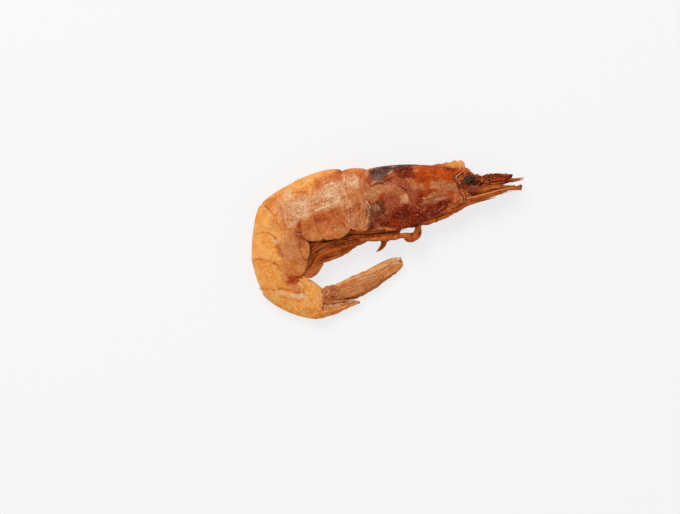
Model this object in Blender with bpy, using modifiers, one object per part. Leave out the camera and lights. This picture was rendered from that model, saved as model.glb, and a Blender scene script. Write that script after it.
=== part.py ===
"""A dried whole shrimp lying on its left side with its tail curled under, as one still, life-size model.

The shell is a chain of plates: the head front, the carapace and six abdominal rings. Each plate is a
loft between two curved joint lines, U-shaped in section, so that its side flaps hang past the belly.
The limbs, feelers and tail fan grow from points that are worked out on those plates.

The frame: +X points to the head, +Y to the shrimp's back, +Z is up, which is the shrimp's right.
Sizes are in millimetres, and turn into metres where a mesh is made.
"""

import math
from dataclasses import dataclass

import bmesh
import bpy
from mathutils import Vector

MM = 0.001
GAP = 0.3  # clear space between neighbouring pieces
FLAT_DEPTH = 0.16  # how deep the floor cuts into the widest part of the left flank
SHELL_WALL = 0.62  # thickness of the free side flaps
TUCK = 0.5  # how far a plate's front edge sits inside the plate before it
LIP = 0.12  # how far a plate's rear edge stands proud
SLIVER = 0.007  # faces thinner than this are closed up where pieces are joined

UP = Vector((0, 0, 1))

CORE_STEPS = 10  # points down one flank of a ring, above the belly
FLAP_STEPS = 3  # points down the free flap below the belly
EYE_RADIUS = 1.2
ROSTRUM_TEETH = (0.0, 0.1, 0.0, 0.16, 0.0, 0.2, 0.0, 0.16, 0.0)  # how far each worn tooth stands up

# A flat limb's section: place across the half width, and height over the half thickness
BLADE_SECTION = (
    (-1.0, 0.0), (-0.66, 0.85), (0.0, 1.0), (0.66, 0.85),
    (1.0, 0.0), (0.66, -0.85), (0.0, -1.0), (-0.66, -0.85),
)

# Walking legs: place along the carapace, offset from the middle plane, route as x, y and offset, and radii
LEGS = {
    1: (0.22, 0.75, ((15.0, 6.6, 0.8), (17.2, 7.3, 1.6), (20.0, 8.9, 1.85)), (0.45, 0.45, 0.4, 0.4, 0.3)),
    2: (0.42, 1.15, ((9.4, 4.3, 1.4), (11.6, 4.75, 1.5), (14.0, 5.6, 1.6), (15.6, 6.25, 1.85)),
        (0.5, 0.52, 0.52, 0.45, 0.4, 0.3)),
    3: (0.5, 1.2, ((7.7, 3.6, 1.35), (7.5, 1.2, 1.7), (5.9, 0.25, 2.1), (4.1, 0.6, 2.5), (1.2, 0.42, 2.6),
                   (-3.6, 0.2, 2.4)), (0.45, 0.52, 0.62, 0.8, 0.72, 0.52, 0.48, 0.3)),
    4: (0.59, 1.3, ((4.4, 2.1, 1.4), (2.6, 1.2, 1.5), (0.4, 1.05, 1.5), (-3.1, 1.0, 1.5)),
        (0.5, 0.5, 0.45, 0.4, 0.38, 0.28)),
}

# Swimmerets: place along the ring, elbow, knee, tip, half widths of base joint and blades, and their sag
PLEOPODS = {
    1: (0.5, (-6.3, 2.05), (-3.9, 2.1), (3.2, 2.7), 0.55, 0.55, 0.0),
    2: (0.5, (-12.1, 0.85), (-9.0, 0.66), (-4.4, 0.84), 0.6, 0.48, -0.08),
    3: (0.55, (-17.2, -1.1), (-13.2, -0.75), (-6.8, -0.15), 0.66, 0.48, 0.0),
    4: (0.5, (-18.1, -3.1), (-14.8, -2.3), (-4.2, 0.0), 1.0, 0.55, 0.3),
    5: (0.62, (-19.2, -7.7), (-16.5, -5.1), (-8.2, -1.95), 1.25, 0.75, 0.25),
}


def lerp(a, b, share):
    return a * (1 - share) + b * share


def smooth(share):
    """0 to 1 with level ends."""
    share = min(1.0, max(0.0, share))
    return share * share * (3 - 2 * share)


def hump(share, peak=0.5, power=1.0):
    """0 at both ends of 0 to 1, and 1 at the peak."""
    share = min(1.0, max(0.0, share))
    return max(0.0, math.sin(math.pi * share ** (math.log(0.5) / math.log(peak)))) ** power


# The shell plates

@dataclass
class Joint:
    """Where two plates meet, in the side view, from the back line to the lower edge of the flank."""

    dorsal: tuple
    ventral: tuple
    half_width: float
    mid_height: float
    bow: float  # how far the joint line bows to the tail
    bow_peak: float = 0.33

    def point(self, depth):
        """The joint line at a share of the depth, 0 at the back and 1 at the lower edge."""
        back = Vector((*self.dorsal, 0))
        down = Vector((*self.ventral, 0)) - back
        return back + down * depth + self.rearward() * self.bow * hump(depth, self.bow_peak, 1.4)

    def rearward(self):
        down = (Vector((*self.ventral, 0)) - Vector((*self.dorsal, 0))).normalized()
        return Vector((down.y, -down.x, 0))


def resting(half_width):
    """Height of the middle plane that lets a flank this wide lie on the floor with a small flat."""
    return half_width - FLAT_DEPTH


SNOUT = Joint((23.6, 16.2), (23.2, 11.3), 1.5, 3.5, 0.0)
HEAD_REAR = Joint((19.0, 17.2), (18.3, 8.9), 2.6, 3.7, 1.5, 0.28)
CARAPACE_FRONT = Joint((19.0, 17.75), (18.2, 8.5), 3.1, 3.75, 1.5, 0.28)
JOINTS = (
    Joint((-5.3, 17.45), (-4.05, 3.7), 4.45, resting(4.45), 0.9),
    Joint((-11.15, 17.2), (-9.2, 3.0), 4.4, resting(4.4), 1.0),
    Joint((-23.25, 14.25), (-15.8, 0.4), 4.2, resting(4.2), 1.0),
    Joint((-31.55, 8.6), (-20.0, -0.2), 3.8, resting(3.8), 1.2),
    Joint((-33.8, -5.5), (-20.4, -5.1), 3.4, resting(3.4), 0.6),
    Joint((-31.25, -13.0), (-21.6, -9.0), 2.8, resting(2.8), 0.6),
    Joint((-17.05, -19.7), (-15.7, -12.7), 2.0, resting(2.0), 0.3),
)


@dataclass
class Plate:
    """One ring of shell between two joints."""

    name: str
    front: Joint
    rear: Joint
    back_rise: float  # how far the back line arches above its chord
    back_peak: float
    flap_drop: float  # how far the side flap's lower edge rounds down
    flap_peak: float
    belly: float = 0.88  # share of the depth where the belly closes the ring
    flap_width: float = 0.8  # share of the half width left at the flap's lower edge
    widest: float = 0.5  # share of the depth where the flank is widest
    roundness: float = 2.3
    tuck: float = TUCK
    rings: tuple = (0.0, 0.05, 0.14, 0.27, 0.42, 0.58, 0.73, 0.86, 0.95, 1.0)
    swell: float = 0.0
    back_power: float = 0.7

    def width_share(self, depth):
        """The flank's half width at a share of the depth, over its widest."""
        if depth < self.widest:
            reach = (self.widest - depth) / self.widest
            return (1 - reach**self.roundness) ** (1 / self.roundness)
        return 1 - (1 - self.flap_width) * ((depth - self.widest) / (1 - self.widest)) ** 2

    def inset(self, along):
        """How far the surface lies inside the plain loft: tucked at the front edge, proud at the rear."""
        return self.tuck * (1 - smooth(along / 0.3)) - LIP * smooth((along - 0.75) / 0.2)

    def line(self, along, depth):
        """A point of the plate's outline in the side view, on the middle plane's height."""
        down = (lerp(self.front.point(1), self.rear.point(1), along)
                - lerp(self.front.point(0), self.rear.point(0), along))
        slid = depth + self.inset(along) * (1 - depth) ** 3 / down.length
        front = self.front.point(slid) + self.front.rearward() * GAP / 2
        rear = self.rear.point(slid) - self.rear.rearward() * GAP / 2
        rise = self.back_rise * hump(along, self.back_peak, self.back_power) * (1 - depth) ** 3
        flap = max(0.0, depth - self.belly) / (1 - self.belly)
        drop = self.flap_drop * hump(along, self.flap_peak, 0.6) * flap
        place = lerp(front, rear, along) + down.normalized() * (drop - rise)
        middle = lerp(self.front.mid_height, self.rear.mid_height, along) + self.swell * hump(along)
        return place + UP * middle

    def half_width(self, along, depth):
        full = lerp(self.front.half_width, self.rear.half_width, along) + self.swell * hump(along)
        return max(0.0, (full - self.inset(along)) * self.width_share(depth))

    def place(self, along, depth, side, wall=0.0):
        """A point of the shell, or of the inner face of its wall. The floor flattens what lies lowest."""
        half = self.half_width(along, depth)
        sideways = max(half - wall, min(half, 0.12)) if wall else half
        point = self.line(along, depth) + UP * side * sideways
        point.z = max(point.z, 0.0)
        return point

    def ring(self, along):
        """The closed section: down the right flank, round its flap, across the belly and back up."""
        core = [self.belly * (i / CORE_STEPS) ** 1.25 for i in range(CORE_STEPS + 1)]
        flap = [lerp(self.belly, 1.0, (i + 1) / FLAP_STEPS) for i in range(FLAP_STEPS)]
        outer = core + flap
        inner = [self.belly] + flap
        right = [self.place(along, depth, 1) for depth in outer]
        left = [self.place(along, depth, -1) for depth in outer]
        right_inner = [self.place(along, depth, 1, SHELL_WALL) for depth in inner]
        left_inner = [self.place(along, depth, -1, SHELL_WALL) for depth in inner]
        belly = self.line(along, self.belly)
        return right + right_inner[::-1] + [belly] + left_inner + left[:0:-1]


CARAPACE = Plate(
    "carapace", CARAPACE_FRONT, JOINTS[0], 1.05, 0.55, 2.6, 0.7, belly=0.9, flap_width=0.66,
    widest=0.52, roundness=2.1, tuck=0.0, swell=0.55, back_power=1.0,
    rings=(0.0, 0.03, 0.08, 0.15, 0.23, 0.31, 0.4, 0.49, 0.58, 0.67, 0.76, 0.85, 0.93, 0.97, 1.0),
)
HEAD = Plate(
    "head", SNOUT, HEAD_REAR, -0.2, 0.4, 0.0, 0.5, belly=0.93, flap_width=0.72, roundness=2.2, tuck=0.1,
)
RINGS = (
    Plate("abdomen_1", JOINTS[0], JOINTS[1], 0.6, 0.5, 1.2, 0.45, tuck=-0.1),
    Plate("abdomen_2", JOINTS[1], JOINTS[2], 1.35, 0.35, 1.4, 0.4),
    Plate("abdomen_3", JOINTS[2], JOINTS[3], 0.75, 0.6, 0.35, 0.5),
    Plate("abdomen_4", JOINTS[3], JOINTS[4], 0.85, 0.38, 0.9, 0.5),
    Plate("abdomen_5", JOINTS[4], JOINTS[5], 0.15, 0.5, 0.9, 0.35),
    Plate("abdomen_6", JOINTS[5], JOINTS[6], 2.0, 0.42, 0.35, 0.35, belly=0.96, flap_width=0.62),
)


def belly_root(plate, along, side, offset):
    """A point just under the belly, where a limb grows, and the way down from it."""
    down = (plate.line(along, plate.belly) - plate.line(along, 0.4)).normalized()
    down.z = 0
    return plate.line(along, plate.belly) + down * (GAP + 0.2) + UP * side * offset, down


# Mesh making

def mesh_object(name, points, faces, material):
    """Links an object whose mesh holds these points, given in millimetres."""
    mesh = bpy.data.meshes.new(name)
    mesh.from_pydata([point * MM for point in points], [], faces)
    mesh.materials.append(material)
    obj = bpy.data.objects.new(name, mesh)
    parts.objects.link(obj)
    mesh.shade_smooth()
    mesh.set_sharp_from_angle(angle=math.radians(50))
    return obj


def strips(ring_count, ring_size):
    """Triangles between rings, with the same diagonal on both halves of a ring that is symmetric."""
    faces = []
    for i in range(ring_count - 1):
        for j in range(ring_size):
            here, there = i * ring_size, (i + 1) * ring_size
            after = (j + 1) % ring_size
            if j < ring_size // 2:
                faces += [(here + j, here + after, there + after), (here + j, there + after, there + j)]
            else:
                faces += [(here + j, here + after, there + j), (here + after, there + after, there + j)]
    return faces


def plate_cap(first, flip):
    """Closes a plate's end ring: a ladder across its core, then the end of each flap."""
    outer = CORE_STEPS + FLAP_STEPS + 1
    inner = FLAP_STEPS + 1
    size = 2 * (outer + inner)
    right = [first + j for j in range(outer)]
    left = [first] + [first + size - j for j in range(1, outer)]
    right_inner = [first + outer + inner - 1 - j for j in range(inner)]
    belly = first + outer + inner
    left_inner = [belly + 1 + j for j in range(inner)]
    faces = [(right[0], right[1], left[1])]
    for j in range(1, CORE_STEPS):
        faces += [(right[j], right[j + 1], left[j + 1]), (right[j], left[j + 1], left[j])]
    low = CORE_STEPS
    middle = [right[low], right_inner[0], belly, left_inner[0], left[low]]
    faces.remove((right[low - 1], right[low], left[low]))
    faces.remove((right[low - 1], left[low], left[low - 1]))
    faces += [(right[low - 1], middle[0], middle[1]), (right[low - 1], middle[1], middle[2])]
    faces += [(right[low - 1], middle[2], left[low - 1])]
    faces += [(left[low - 1], middle[2], middle[3]), (left[low - 1], middle[3], middle[4])]
    for j in range(FLAP_STEPS):
        faces += [(right[low + j], right[low + j + 1], right_inner[j + 1])]
        faces += [(right[low + j], right_inner[j + 1], right_inner[j])]
        faces += [(left[low + j], left_inner[j], left_inner[j + 1])]
        faces += [(left[low + j], left_inner[j + 1], left[low + j + 1])]
    return [face[::-1] for face in faces] if flip else faces


def face_outwards(obj):
    """Turns every face of a closed mesh outwards."""
    work = bmesh.new()
    work.from_mesh(obj.data)
    bmesh.ops.recalc_face_normals(work, faces=work.faces)
    if work.calc_volume(signed=True) < 0:
        bmesh.ops.reverse_faces(work, faces=work.faces)
    work.to_mesh(obj.data)
    work.free()


def shell_plate(plate, material):
    rings = [plate.ring(along) for along in plate.rings]
    size = len(rings[0])
    points = [point for ring in rings for point in ring]
    faces = strips(len(rings), size) + plate_cap(0, True) + plate_cap((len(rings) - 1) * size, False)
    obj = mesh_object(plate.name, points, faces, material)
    face_outwards(obj)
    return obj


def smooth_path(points, count):
    """Points spread evenly by number along a smooth curve through the given ones."""
    route = [Vector(point) for point in points]
    route = [2 * route[0] - route[1]] + route + [2 * route[-1] - route[-2]]
    spans = len(points) - 1
    found = []
    for i in range(count):
        share = spans * i / (count - 1)
        span = min(int(share), spans - 1)
        t = share - span
        a, b, c, d = route[span:span + 4]
        found.append(0.5 * (2 * b + (c - a) * t + (2 * a - 5 * b + 4 * c - d) * t**2
                            + (3 * b - a - 3 * c + d) * t**3))
    return found


def sampled(values, share):
    """A value read at a share of an evenly spaced list."""
    place = share * (len(values) - 1)
    low = min(int(place), len(values) - 2)
    return lerp(values[low], values[low + 1], place - low)


def blade(name, route, reach, thickness, material, count=12, ridge=0.0):
    """A flat tapered limb in the side view's plane: its centre line, half widths and half thickness.

    Its section is a lens of eight points, the same on both faces, with a low ridge down each."""
    path = smooth_path(route, count)
    rings = []
    for i, centre in enumerate(path):
        share = i / (count - 1)
        ahead = path[min(i + 1, count - 1)] - path[max(i - 1, 0)]
        across = UP.cross(Vector((ahead.x, ahead.y, 0))).normalized()
        half, deep = sampled(reach, share), sampled(thickness, share)
        ring = []
        for along, level in BLADE_SECTION:
            height = level * deep + (ridge * deep * (1 if level > 0 else -1) if along == 0 else 0)
            ring.append(centre + across * along * half + UP * height)
        rings.append(ring)
    size = len(rings[0])
    points = [point for ring in rings for point in ring]
    last = (len(rings) - 1) * size
    faces = strips(len(rings), size)
    for first in (0, last):
        for j in range(1, size // 2):
            a, b, c, d = j - 1, j, size - j, (size - j + 1) % size
            if a == 0:
                faces.append((first, first + b, first + c))
            else:
                faces += [(first + a, first + b, first + c), (first + a, first + c, first + d)]
        faces.append((first + size // 2 - 1, first + size // 2, first + size // 2 + 1))
    obj = mesh_object(name, points, faces, material)
    face_outwards(obj)
    return obj


def tube(name, route, radii, material, count=12):
    """A round limb or feeler as a curve, thick and thin along its length as the radii say."""
    data = bpy.data.curves.new(name, "CURVE")
    data.dimensions = "3D"
    data.bevel_depth = MM
    data.bevel_resolution = 2
    data.use_fill_caps = True
    data.twist_mode = "MINIMUM"
    spline = data.splines.new("POLY")
    spline.points.add(count - 1)
    for i, point in enumerate(smooth_path(route, count)):
        spline.points[i].co = (*(point * MM), 1)
        spline.points[i].radius = sampled(radii, i / (count - 1))
    data.materials.append(material)
    obj = bpy.data.objects.new(name, data)
    parts.objects.link(obj)
    return obj


def as_mesh(obj):
    """A curve made into a mesh object of the same name, with its loose caps welded on."""
    if obj.type == "MESH":
        return obj
    bpy.context.view_layer.update()
    graph = bpy.context.evaluated_depsgraph_get()
    mesh = bpy.data.meshes.new_from_object(obj.evaluated_get(graph))
    name = obj.name
    bpy.data.objects.remove(obj)
    work = bmesh.new()
    work.from_mesh(mesh)
    bmesh.ops.remove_doubles(work, verts=work.verts, dist=1e-7)
    bmesh.ops.recalc_face_normals(work, faces=work.faces)
    work.to_mesh(mesh)
    work.free()
    made = bpy.data.objects.new(name, mesh)
    parts.objects.link(made)
    return made


def fuse(name, pieces):
    """Joins overlapping closed pieces into one closed mesh, and keeps its largest closed surface."""
    body, *others = [as_mesh(piece) for piece in pieces]
    joined = bpy.data.collections.new(name + "_joined")
    for other in others:
        parts.objects.unlink(other)
        joined.objects.link(other)
    bpy.context.scene.collection.children.link(joined)
    join = body.modifiers.new("join", "BOOLEAN")
    join.operation = "UNION"
    join.operand_type = "COLLECTION"
    join.collection = joined
    join.solver = "EXACT"
    bpy.context.view_layer.update()
    graph = bpy.context.evaluated_depsgraph_get()
    mesh = bpy.data.meshes.new_from_object(body.evaluated_get(graph))
    body.modifiers.clear()
    body.data = mesh
    for other in others:
        bpy.data.objects.remove(other)
    bpy.data.collections.remove(joined)
    body.name = name
    tidy_union(body)
    return body


def tidy_union(obj):
    """Drops slivers, and every closed surface of the mesh but the one with the most points."""
    work = bmesh.new()
    work.from_mesh(obj.data)
    bmesh.ops.dissolve_degenerate(work, dist=SLIVER * MM, edges=work.edges)
    bmesh.ops.triangulate(work, faces=work.faces)
    left = set(work.verts)
    groups = []
    while left:
        start = left.pop()
        group, edge = {start}, [start]
        while edge:
            for link in edge.pop().link_edges:
                for vert in link.verts:
                    if vert in left:
                        left.discard(vert)
                        group.add(vert)
                        edge.append(vert)
        groups.append(group)
    groups.sort(key=len)
    for group in groups[:-1]:
        bmesh.ops.delete(work, geom=list(group), context="VERTS")
    work.to_mesh(obj.data)
    work.free()


def material(name, colour, roughness):
    made = bpy.data.materials.new(name)
    made.use_nodes = True
    shader = made.node_tree.nodes["Principled BSDF"]
    shader.inputs["Base Color"].default_value = (*colour, 1)
    shader.inputs["Roughness"].default_value = roughness
    made.diffuse_color = (*colour, 1)
    return made


# The head's eyes, feelers and the broken horn between them

def side_name(side):
    return "right" if side > 0 else "left"


def make_rostrum(shell):
    """The stub of the horn: a keel on the carapace's crest with three worn teeth, snapped off in front."""
    count = 9
    start, end = 0.0, 0.3
    rings = []
    for i in range(count):
        along = lerp(end, start, i / (count - 1))
        foot = CARAPACE.line(along, 0.0)
        share = i / (count - 1)
        height = lerp(0.2, 1.5, share**1.3) + ROSTRUM_TEETH[i]
        half_foot, half_top = lerp(0.4, 0.8, share), lerp(0.28, 0.36, share)
        base = foot + Vector((0, GAP, 0))
        rings.append([
            base + UP * half_foot, base + Vector((0, height * 0.55, half_top * 1.25)),
            base + Vector((0, height, half_top * 0.7)), base + Vector((0, height, -half_top * 0.7)),
            base + Vector((0, height * 0.55, -half_top * 1.25)), base - UP * half_foot,
        ])
    size = 6
    points = [point for ring in rings for point in ring]
    last = (count - 1) * size
    caps = [(0, 1, 4), (0, 4, 5), (1, 2, 3), (1, 3, 4)]
    faces = strips(count, size) + caps + [tuple(last + j for j in face) for face in caps]
    obj = mesh_object("rostrum", points, faces, shell)
    face_outwards(obj)
    return obj


def eye_centre(side):
    return Vector((20.55, 15.0, HEAD_REAR.mid_height + side * 1.95))


def make_eye(side, dark):
    """The shrunken eye, a slightly flattened ball turned about its line of sight."""
    turns = [math.pi * i / 9 for i in range(10)]
    profile = [(EYE_RADIUS * math.sin(turn) * 1.04, EYE_RADIUS * math.cos(turn) * (1 if turn < 1.6 else 0.85))
               for turn in turns]
    mesh = bpy.data.meshes.new("eye")
    mesh.from_pydata([(r * MM if 0 < i < 9 else 0.0, 0, z * MM) for i, (r, z) in enumerate(profile)],
                     [(i, i + 1) for i in range(9)], [])
    mesh.materials.append(dark)
    obj = bpy.data.objects.new("eye_" + side_name(side), mesh)
    parts.objects.link(obj)
    turn = obj.modifiers.new("turn", "SCREW")
    turn.steps = 14
    turn.render_steps = 14
    turn.use_merge_vertices = True
    turn.merge_threshold = 0.00001
    turn.use_smooth_shade = True
    obj.rotation_mode = "QUATERNION"
    obj.rotation_quaternion = Vector((0.35, 0.15, side * 0.92)).to_track_quat("Z", "Y")
    obj.location = eye_centre(side) * MM
    return obj


def make_head(shell):
    """The block between the eyes, with the bump that carried the horn, hollowed around each eye."""
    mid = HEAD_REAR.mid_height
    bump = blade("bump", [(19.9, 15.4, mid), (20.15, 16.6, mid), (20.3, 17.6, mid)],
                 [0.95, 0.95, 0.85, 0.5], [1.3, 1.25, 1.0, 0.6], shell, count=6)
    head = fuse("head", [shell_plate(HEAD, shell), bump])
    cut_sockets(head)
    return head


def cut_sockets(head):
    """Hollows the head around each eye."""
    for side in (1, -1):
        bpy.ops.mesh.primitive_uv_sphere_add(segments=16, ring_count=10, radius=(EYE_RADIUS + GAP) * MM,
                                             location=eye_centre(side) * MM)
        ball = bpy.context.object
        ball.name = "socket_" + side_name(side)
        ball.hide_render = True
        for owner in list(ball.users_collection):
            owner.objects.unlink(ball)
        cutters.objects.link(ball)
        cut = head.modifiers.new("socket", "BOOLEAN")
        cut.operation = "DIFFERENCE"
        cut.object = ball
        cut.solver = "EXACT"


def make_antennule(side, flesh):
    """A three-jointed stalk that ends in two short, snapped feelers."""
    name = "antennule_" + side_name(side)
    z = SNOUT.mid_height + side * 0.88
    slip = 0.0 if side > 0 else -0.35
    route = [(24.05, 14.45, z), (25.6, 14.95, z), (28.2, 15.25 + slip, z), (31.0, 15.4 + slip, z)]
    stalk = blade(name, route,
                  [1.3, 1.5, 1.5, 1.45, 1.3, 1.1, 0.7], [0.6, 0.68, 0.6, 0.66, 0.52, 0.56, 0.42],
                  flesh, count=12)
    upper = tube(name + "_spike", [(30.2, 15.7 + slip, z), (31.0, 16.1 + slip, z), (31.5, 16.75 + slip, z)],
                 [0.4, 0.3, 0.12], flesh, count=4)
    lower = tube(name + "_feeler", [(30.0, 15.1 + slip, z), (31.6, 14.85 + slip, z),
                                    (33.9, 15.35 + slip, z + side * 0.1)],
                 [0.4, 0.34, 0.28, 0.25], flesh, count=7)
    return fuse(name, [stalk, upper, lower])


def make_antenna(side, flesh):
    """The thick stalk of the long feeler, and the stub that is left of the feeler."""
    mid = SNOUT.mid_height
    route = [(20.9, 12.2, 2.85), (23.6, 12.5, 2.4), (26.6, 12.85, 1.75), (29.6, 13.0, 1.45), (33.3, 13.3, 1.3)]
    if side < 0:
        route[-1] = (31.0, 12.95, 1.4)
    return tube("antenna_" + side_name(side), [(x, y, mid + side * z) for x, y, z in route],
                [0.6, 0.85, 0.95, 0.8, 0.55, 0.45, 0.46, 0.5, 0.55], flesh, count=15)


def make_antennal_scale(side, flesh):
    """The stiff pointed blade below the stalk of the long feeler."""
    mid = SNOUT.mid_height
    reach = 31.3 if side > 0 else 30.2
    return blade("antennal_scale_" + side_name(side),
                 [(20.3, 9.75, mid + side * 2.7), (23.6, 10.6, mid + side * 2.85),
                  (26.9, 11.6, mid + side * 2.5), (reach, 12.9, mid + side * 2.2)],
                 [0.75, 0.8, 0.62, 0.45, 0.2], [0.36, 0.36, 0.32, 0.28, 0.16], flesh, count=10, ridge=0.3)


def make_maxilliped(side, flesh):
    """The leg-like mouth limb that lies forward along the lower edge of the head."""
    root, down = belly_root(CARAPACE, 0.07, side, 0.6)
    mid = SNOUT.mid_height
    slip = 0.0 if side > 0 else -0.5
    return tube("maxilliped_" + side_name(side),
                [root, root + down * 0.5 + Vector((0.7, 0, 0)), (20.4 + slip, 8.9, mid + side * 0.6),
                 (24.3 + slip, 10.4, mid + side * 0.6), (28.3 + slip, 11.45, mid + side * 0.55)],
                [0.5, 0.45, 0.4, 0.42, 0.42, 0.44, 0.38, 0.32, 0.14], flesh, count=15)


# The walking legs

def make_leg(number, side, flesh):
    """One walking leg: from its root under the carapace, along the route that it dried in."""
    along, offset, route, radii = LEGS[number]
    if side < 0:
        route, radii = route[:-1], radii[:-1]
    mid = JOINTS[0].mid_height
    root, down = belly_root(CARAPACE, along, side, offset)
    points = [root, root + down * 0.7] + [Vector((x, y, mid + side * z)) for x, y, z in route]
    return tube(f"leg_{number}_{side_name(side)}", points, radii, flesh, count=16)


def make_hooked_leg(side, flesh):
    """The last walking leg, whose flattened end hooks back below the belly line."""
    root, down = belly_root(CARAPACE, 0.69, side, 0.5)
    z = JOINTS[0].mid_height + side * 0.5
    route = [root, root + down * 1.5, (1.2, 1.35, z), (-0.65, -0.05, z), (-0.9, -1.13, z), (-1.58, -2.15, z),
             (-2.55, -2.93, z)]
    reach = [0.45, 0.5, 0.6, 0.85, 0.68, 0.5, 0.1]
    deep = [0.35, 0.35, 0.35, 0.35, 0.32, 0.26, 0.1]
    keep = 7 if side > 0 else 6
    return blade("leg_5_" + side_name(side), route[:keep], reach[:keep], deep[:keep], flesh, count=2 * keep)


# The swimmerets under the abdomen

def make_pleopod(number, side, flesh):
    """A swimmeret: a stout base joint and two tapered blades, folded forward against the belly."""
    plate = RINGS[number - 1]
    along, elbow, knee, tip, reach, blades, sag = PLEOPODS[number]
    mid = plate.line(along, 0.5).z
    name = f"pleopod_{number}_{side_name(side)}"
    root, down = belly_root(plate, along, side, 1.0)
    slip = 0.0 if side > 0 else -0.4
    z_base, z_outer, z_inner = mid + side * 1.0, mid + side * 1.33, mid + side * 0.68
    onward = (Vector((*tip, 0)) - Vector((*knee, 0))).normalized()
    start = Vector((*knee, 0)) - onward * 1.1
    bend = Vector((*lerp(Vector(knee), Vector(tip), 0.5), 0)) + UP.cross(onward) * -sag
    halfway = lerp(Vector(knee), Vector(tip), 0.2)
    shorter = lerp(Vector(knee), Vector(tip), 0.5)
    base = blade(name, [root, root + down * 0.9, (*elbow, z_base), (*knee, z_base)],
                 [0.5, 0.65, reach, reach, reach * 0.75], [0.45, 0.5, 0.52, 0.5, 0.42], flesh, count=8)
    outer_route = [(start.x, start.y + 0.03, z_base + side * 0.21), (bend.x, bend.y, z_outer),
                   (tip[0] + slip, tip[1], z_outer)]
    outer = blade(name + "_outer", outer_route, [blades * 0.9, blades, blades, blades * 0.85, 0.2],
                  [0.26, 0.26, 0.26, 0.24, 0.14], flesh, count=8)
    inner_route = [(start.x - 0.23, start.y - 0.07, z_base - side * 0.2), (halfway.x, halfway.y, z_inner),
                   (shorter.x + slip, shorter.y, z_inner)]
    inner = blade(name + "_inner", inner_route, [0.42, 0.46, 0.42, 0.35, 0.18],
                  [0.24, 0.24, 0.24, 0.22, 0.12], flesh, count=7)
    return fuse(name, [base, outer, inner])


# The tail fan

def make_telson(shell):
    """The pointed middle blade of the tail, thick at its root, on the back side of the fan."""
    mid = JOINTS[6].mid_height
    root = JOINTS[6].point(0.33) + JOINTS[6].rearward() * GAP * 0.75
    return blade("telson",
                 [(root.x, root.y, mid), (-14.3, -17.55, mid), (-10.4, -16.2, mid), (-6.65, -15.4, mid)],
                 [1.7, 1.7, 1.5, 1.15, 0.75, 0.15], [1.45, 1.5, 1.3, 1.0, 0.6, 0.16], shell, count=12)


def make_uropod_base(side, shell):
    """The short swollen joint that carries the two side blades of the fan."""
    ahead = JOINTS[6].rearward()
    root = JOINTS[6].point(0.84) + ahead * GAP * 1.5
    z = JOINTS[6].mid_height + side * 0.97
    return blade("uropod_base_" + side_name(side),
                 [(root.x, root.y, z), (root.x + ahead.x * 0.75, root.y + ahead.y * 0.75, z), (-13.95, -13.35, z)],
                 [1.1, 1.2, 1.4, 1.7, 1.6], [0.72, 0.74, 0.74, 0.74, 0.72], shell, count=6)


def make_uropod_blades(side, shell):
    """The outer blade, long and blunt, and the shorter inner blade over it."""
    mid = JOINTS[6].mid_height
    tag = side_name(side)
    drop = 0.0 if side > 0 else 1.0
    z = mid + side * 0.52
    outer = blade("uropod_outer_" + tag,
                  [(-12.95 + drop * 0.35, -12.75, z), (-8.2, -10.95 - drop, z), (-3.2, -8.75 - drop, z),
                   (1.2, -6.4 - drop * 0.6, z), (3.6, -5.3 - drop * 0.5, z)],
                  [1.45, 1.8, 1.9, 1.95, 1.95, 1.95, 1.9, 1.75, 0.9], [0.27, 0.28, 0.28, 0.26, 0.16], shell,
                  count=15, ridge=0.25)
    z = mid + side * 1.45
    inner = blade("uropod_inner_" + tag,
                  [(-12.8 + drop * 0.35, -13.1 - drop * 0.25, z), (-8.4, -11.75 - drop, z), (-4.4, -10.3 - drop, z),
                   (-1.1, -9.1 - drop, z)],
                  [1.3, 1.5, 1.6, 1.55, 1.3, 0.45], [0.28, 0.28, 0.28, 0.26, 0.16], shell, count=12,
                  ridge=0.25)
    return outer, inner


def clear_scene():
    for obj in list(bpy.data.objects):
        bpy.data.objects.remove(obj)


def centre_on_origin():
    """Moves everything so that the frame's origin is the middle of the model's footprint."""
    bpy.context.view_layer.update()
    graph = bpy.context.evaluated_depsgraph_get()
    corners = []
    for obj in parts.objects:
        shown = obj.evaluated_get(graph)
        mesh = shown.to_mesh()
        corners += [shown.matrix_world @ vert.co for vert in mesh.vertices]
        shown.to_mesh_clear()
    middle = [(min(c[i] for c in corners) + max(c[i] for c in corners)) / 2 for i in (0, 1)]
    for obj in [*parts.objects, *cutters.objects]:
        obj.location -= Vector((middle[0], middle[1], 0))


clear_scene()
parts = bpy.data.collections.new("dried_shrimp")
cutters = bpy.data.collections.new("cutters")
for group in (parts, cutters):
    bpy.context.scene.collection.children.link(group)


def main():
    pale_shell = material("dried_shell", (0.72, 0.34, 0.11), 0.5)
    red_shell = material("dried_carapace", (0.42, 0.11, 0.03), 0.4)
    limb_shell = material("dried_limbs", (0.45, 0.16, 0.05), 0.5)
    eye_black = material("dried_eye", (0.03, 0.02, 0.015), 0.35)
    shell_plate(CARAPACE, red_shell)
    make_head(red_shell)
    make_rostrum(pale_shell)
    for ring in RINGS:
        shell_plate(ring, pale_shell)
    make_telson(pale_shell)
    for side in (1, -1):
        make_eye(side, eye_black)
        make_antennule(side, limb_shell)
        make_antenna(side, limb_shell)
        make_antennal_scale(side, limb_shell)
        make_maxilliped(side, limb_shell)
        for number in LEGS:
            make_leg(number, side, limb_shell)
        make_hooked_leg(side, limb_shell)
        for number in PLEOPODS:
            make_pleopod(number, side, limb_shell)
        make_uropod_base(side, pale_shell)
        make_uropod_blades(side, pale_shell)
    centre_on_origin()


main()
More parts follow.
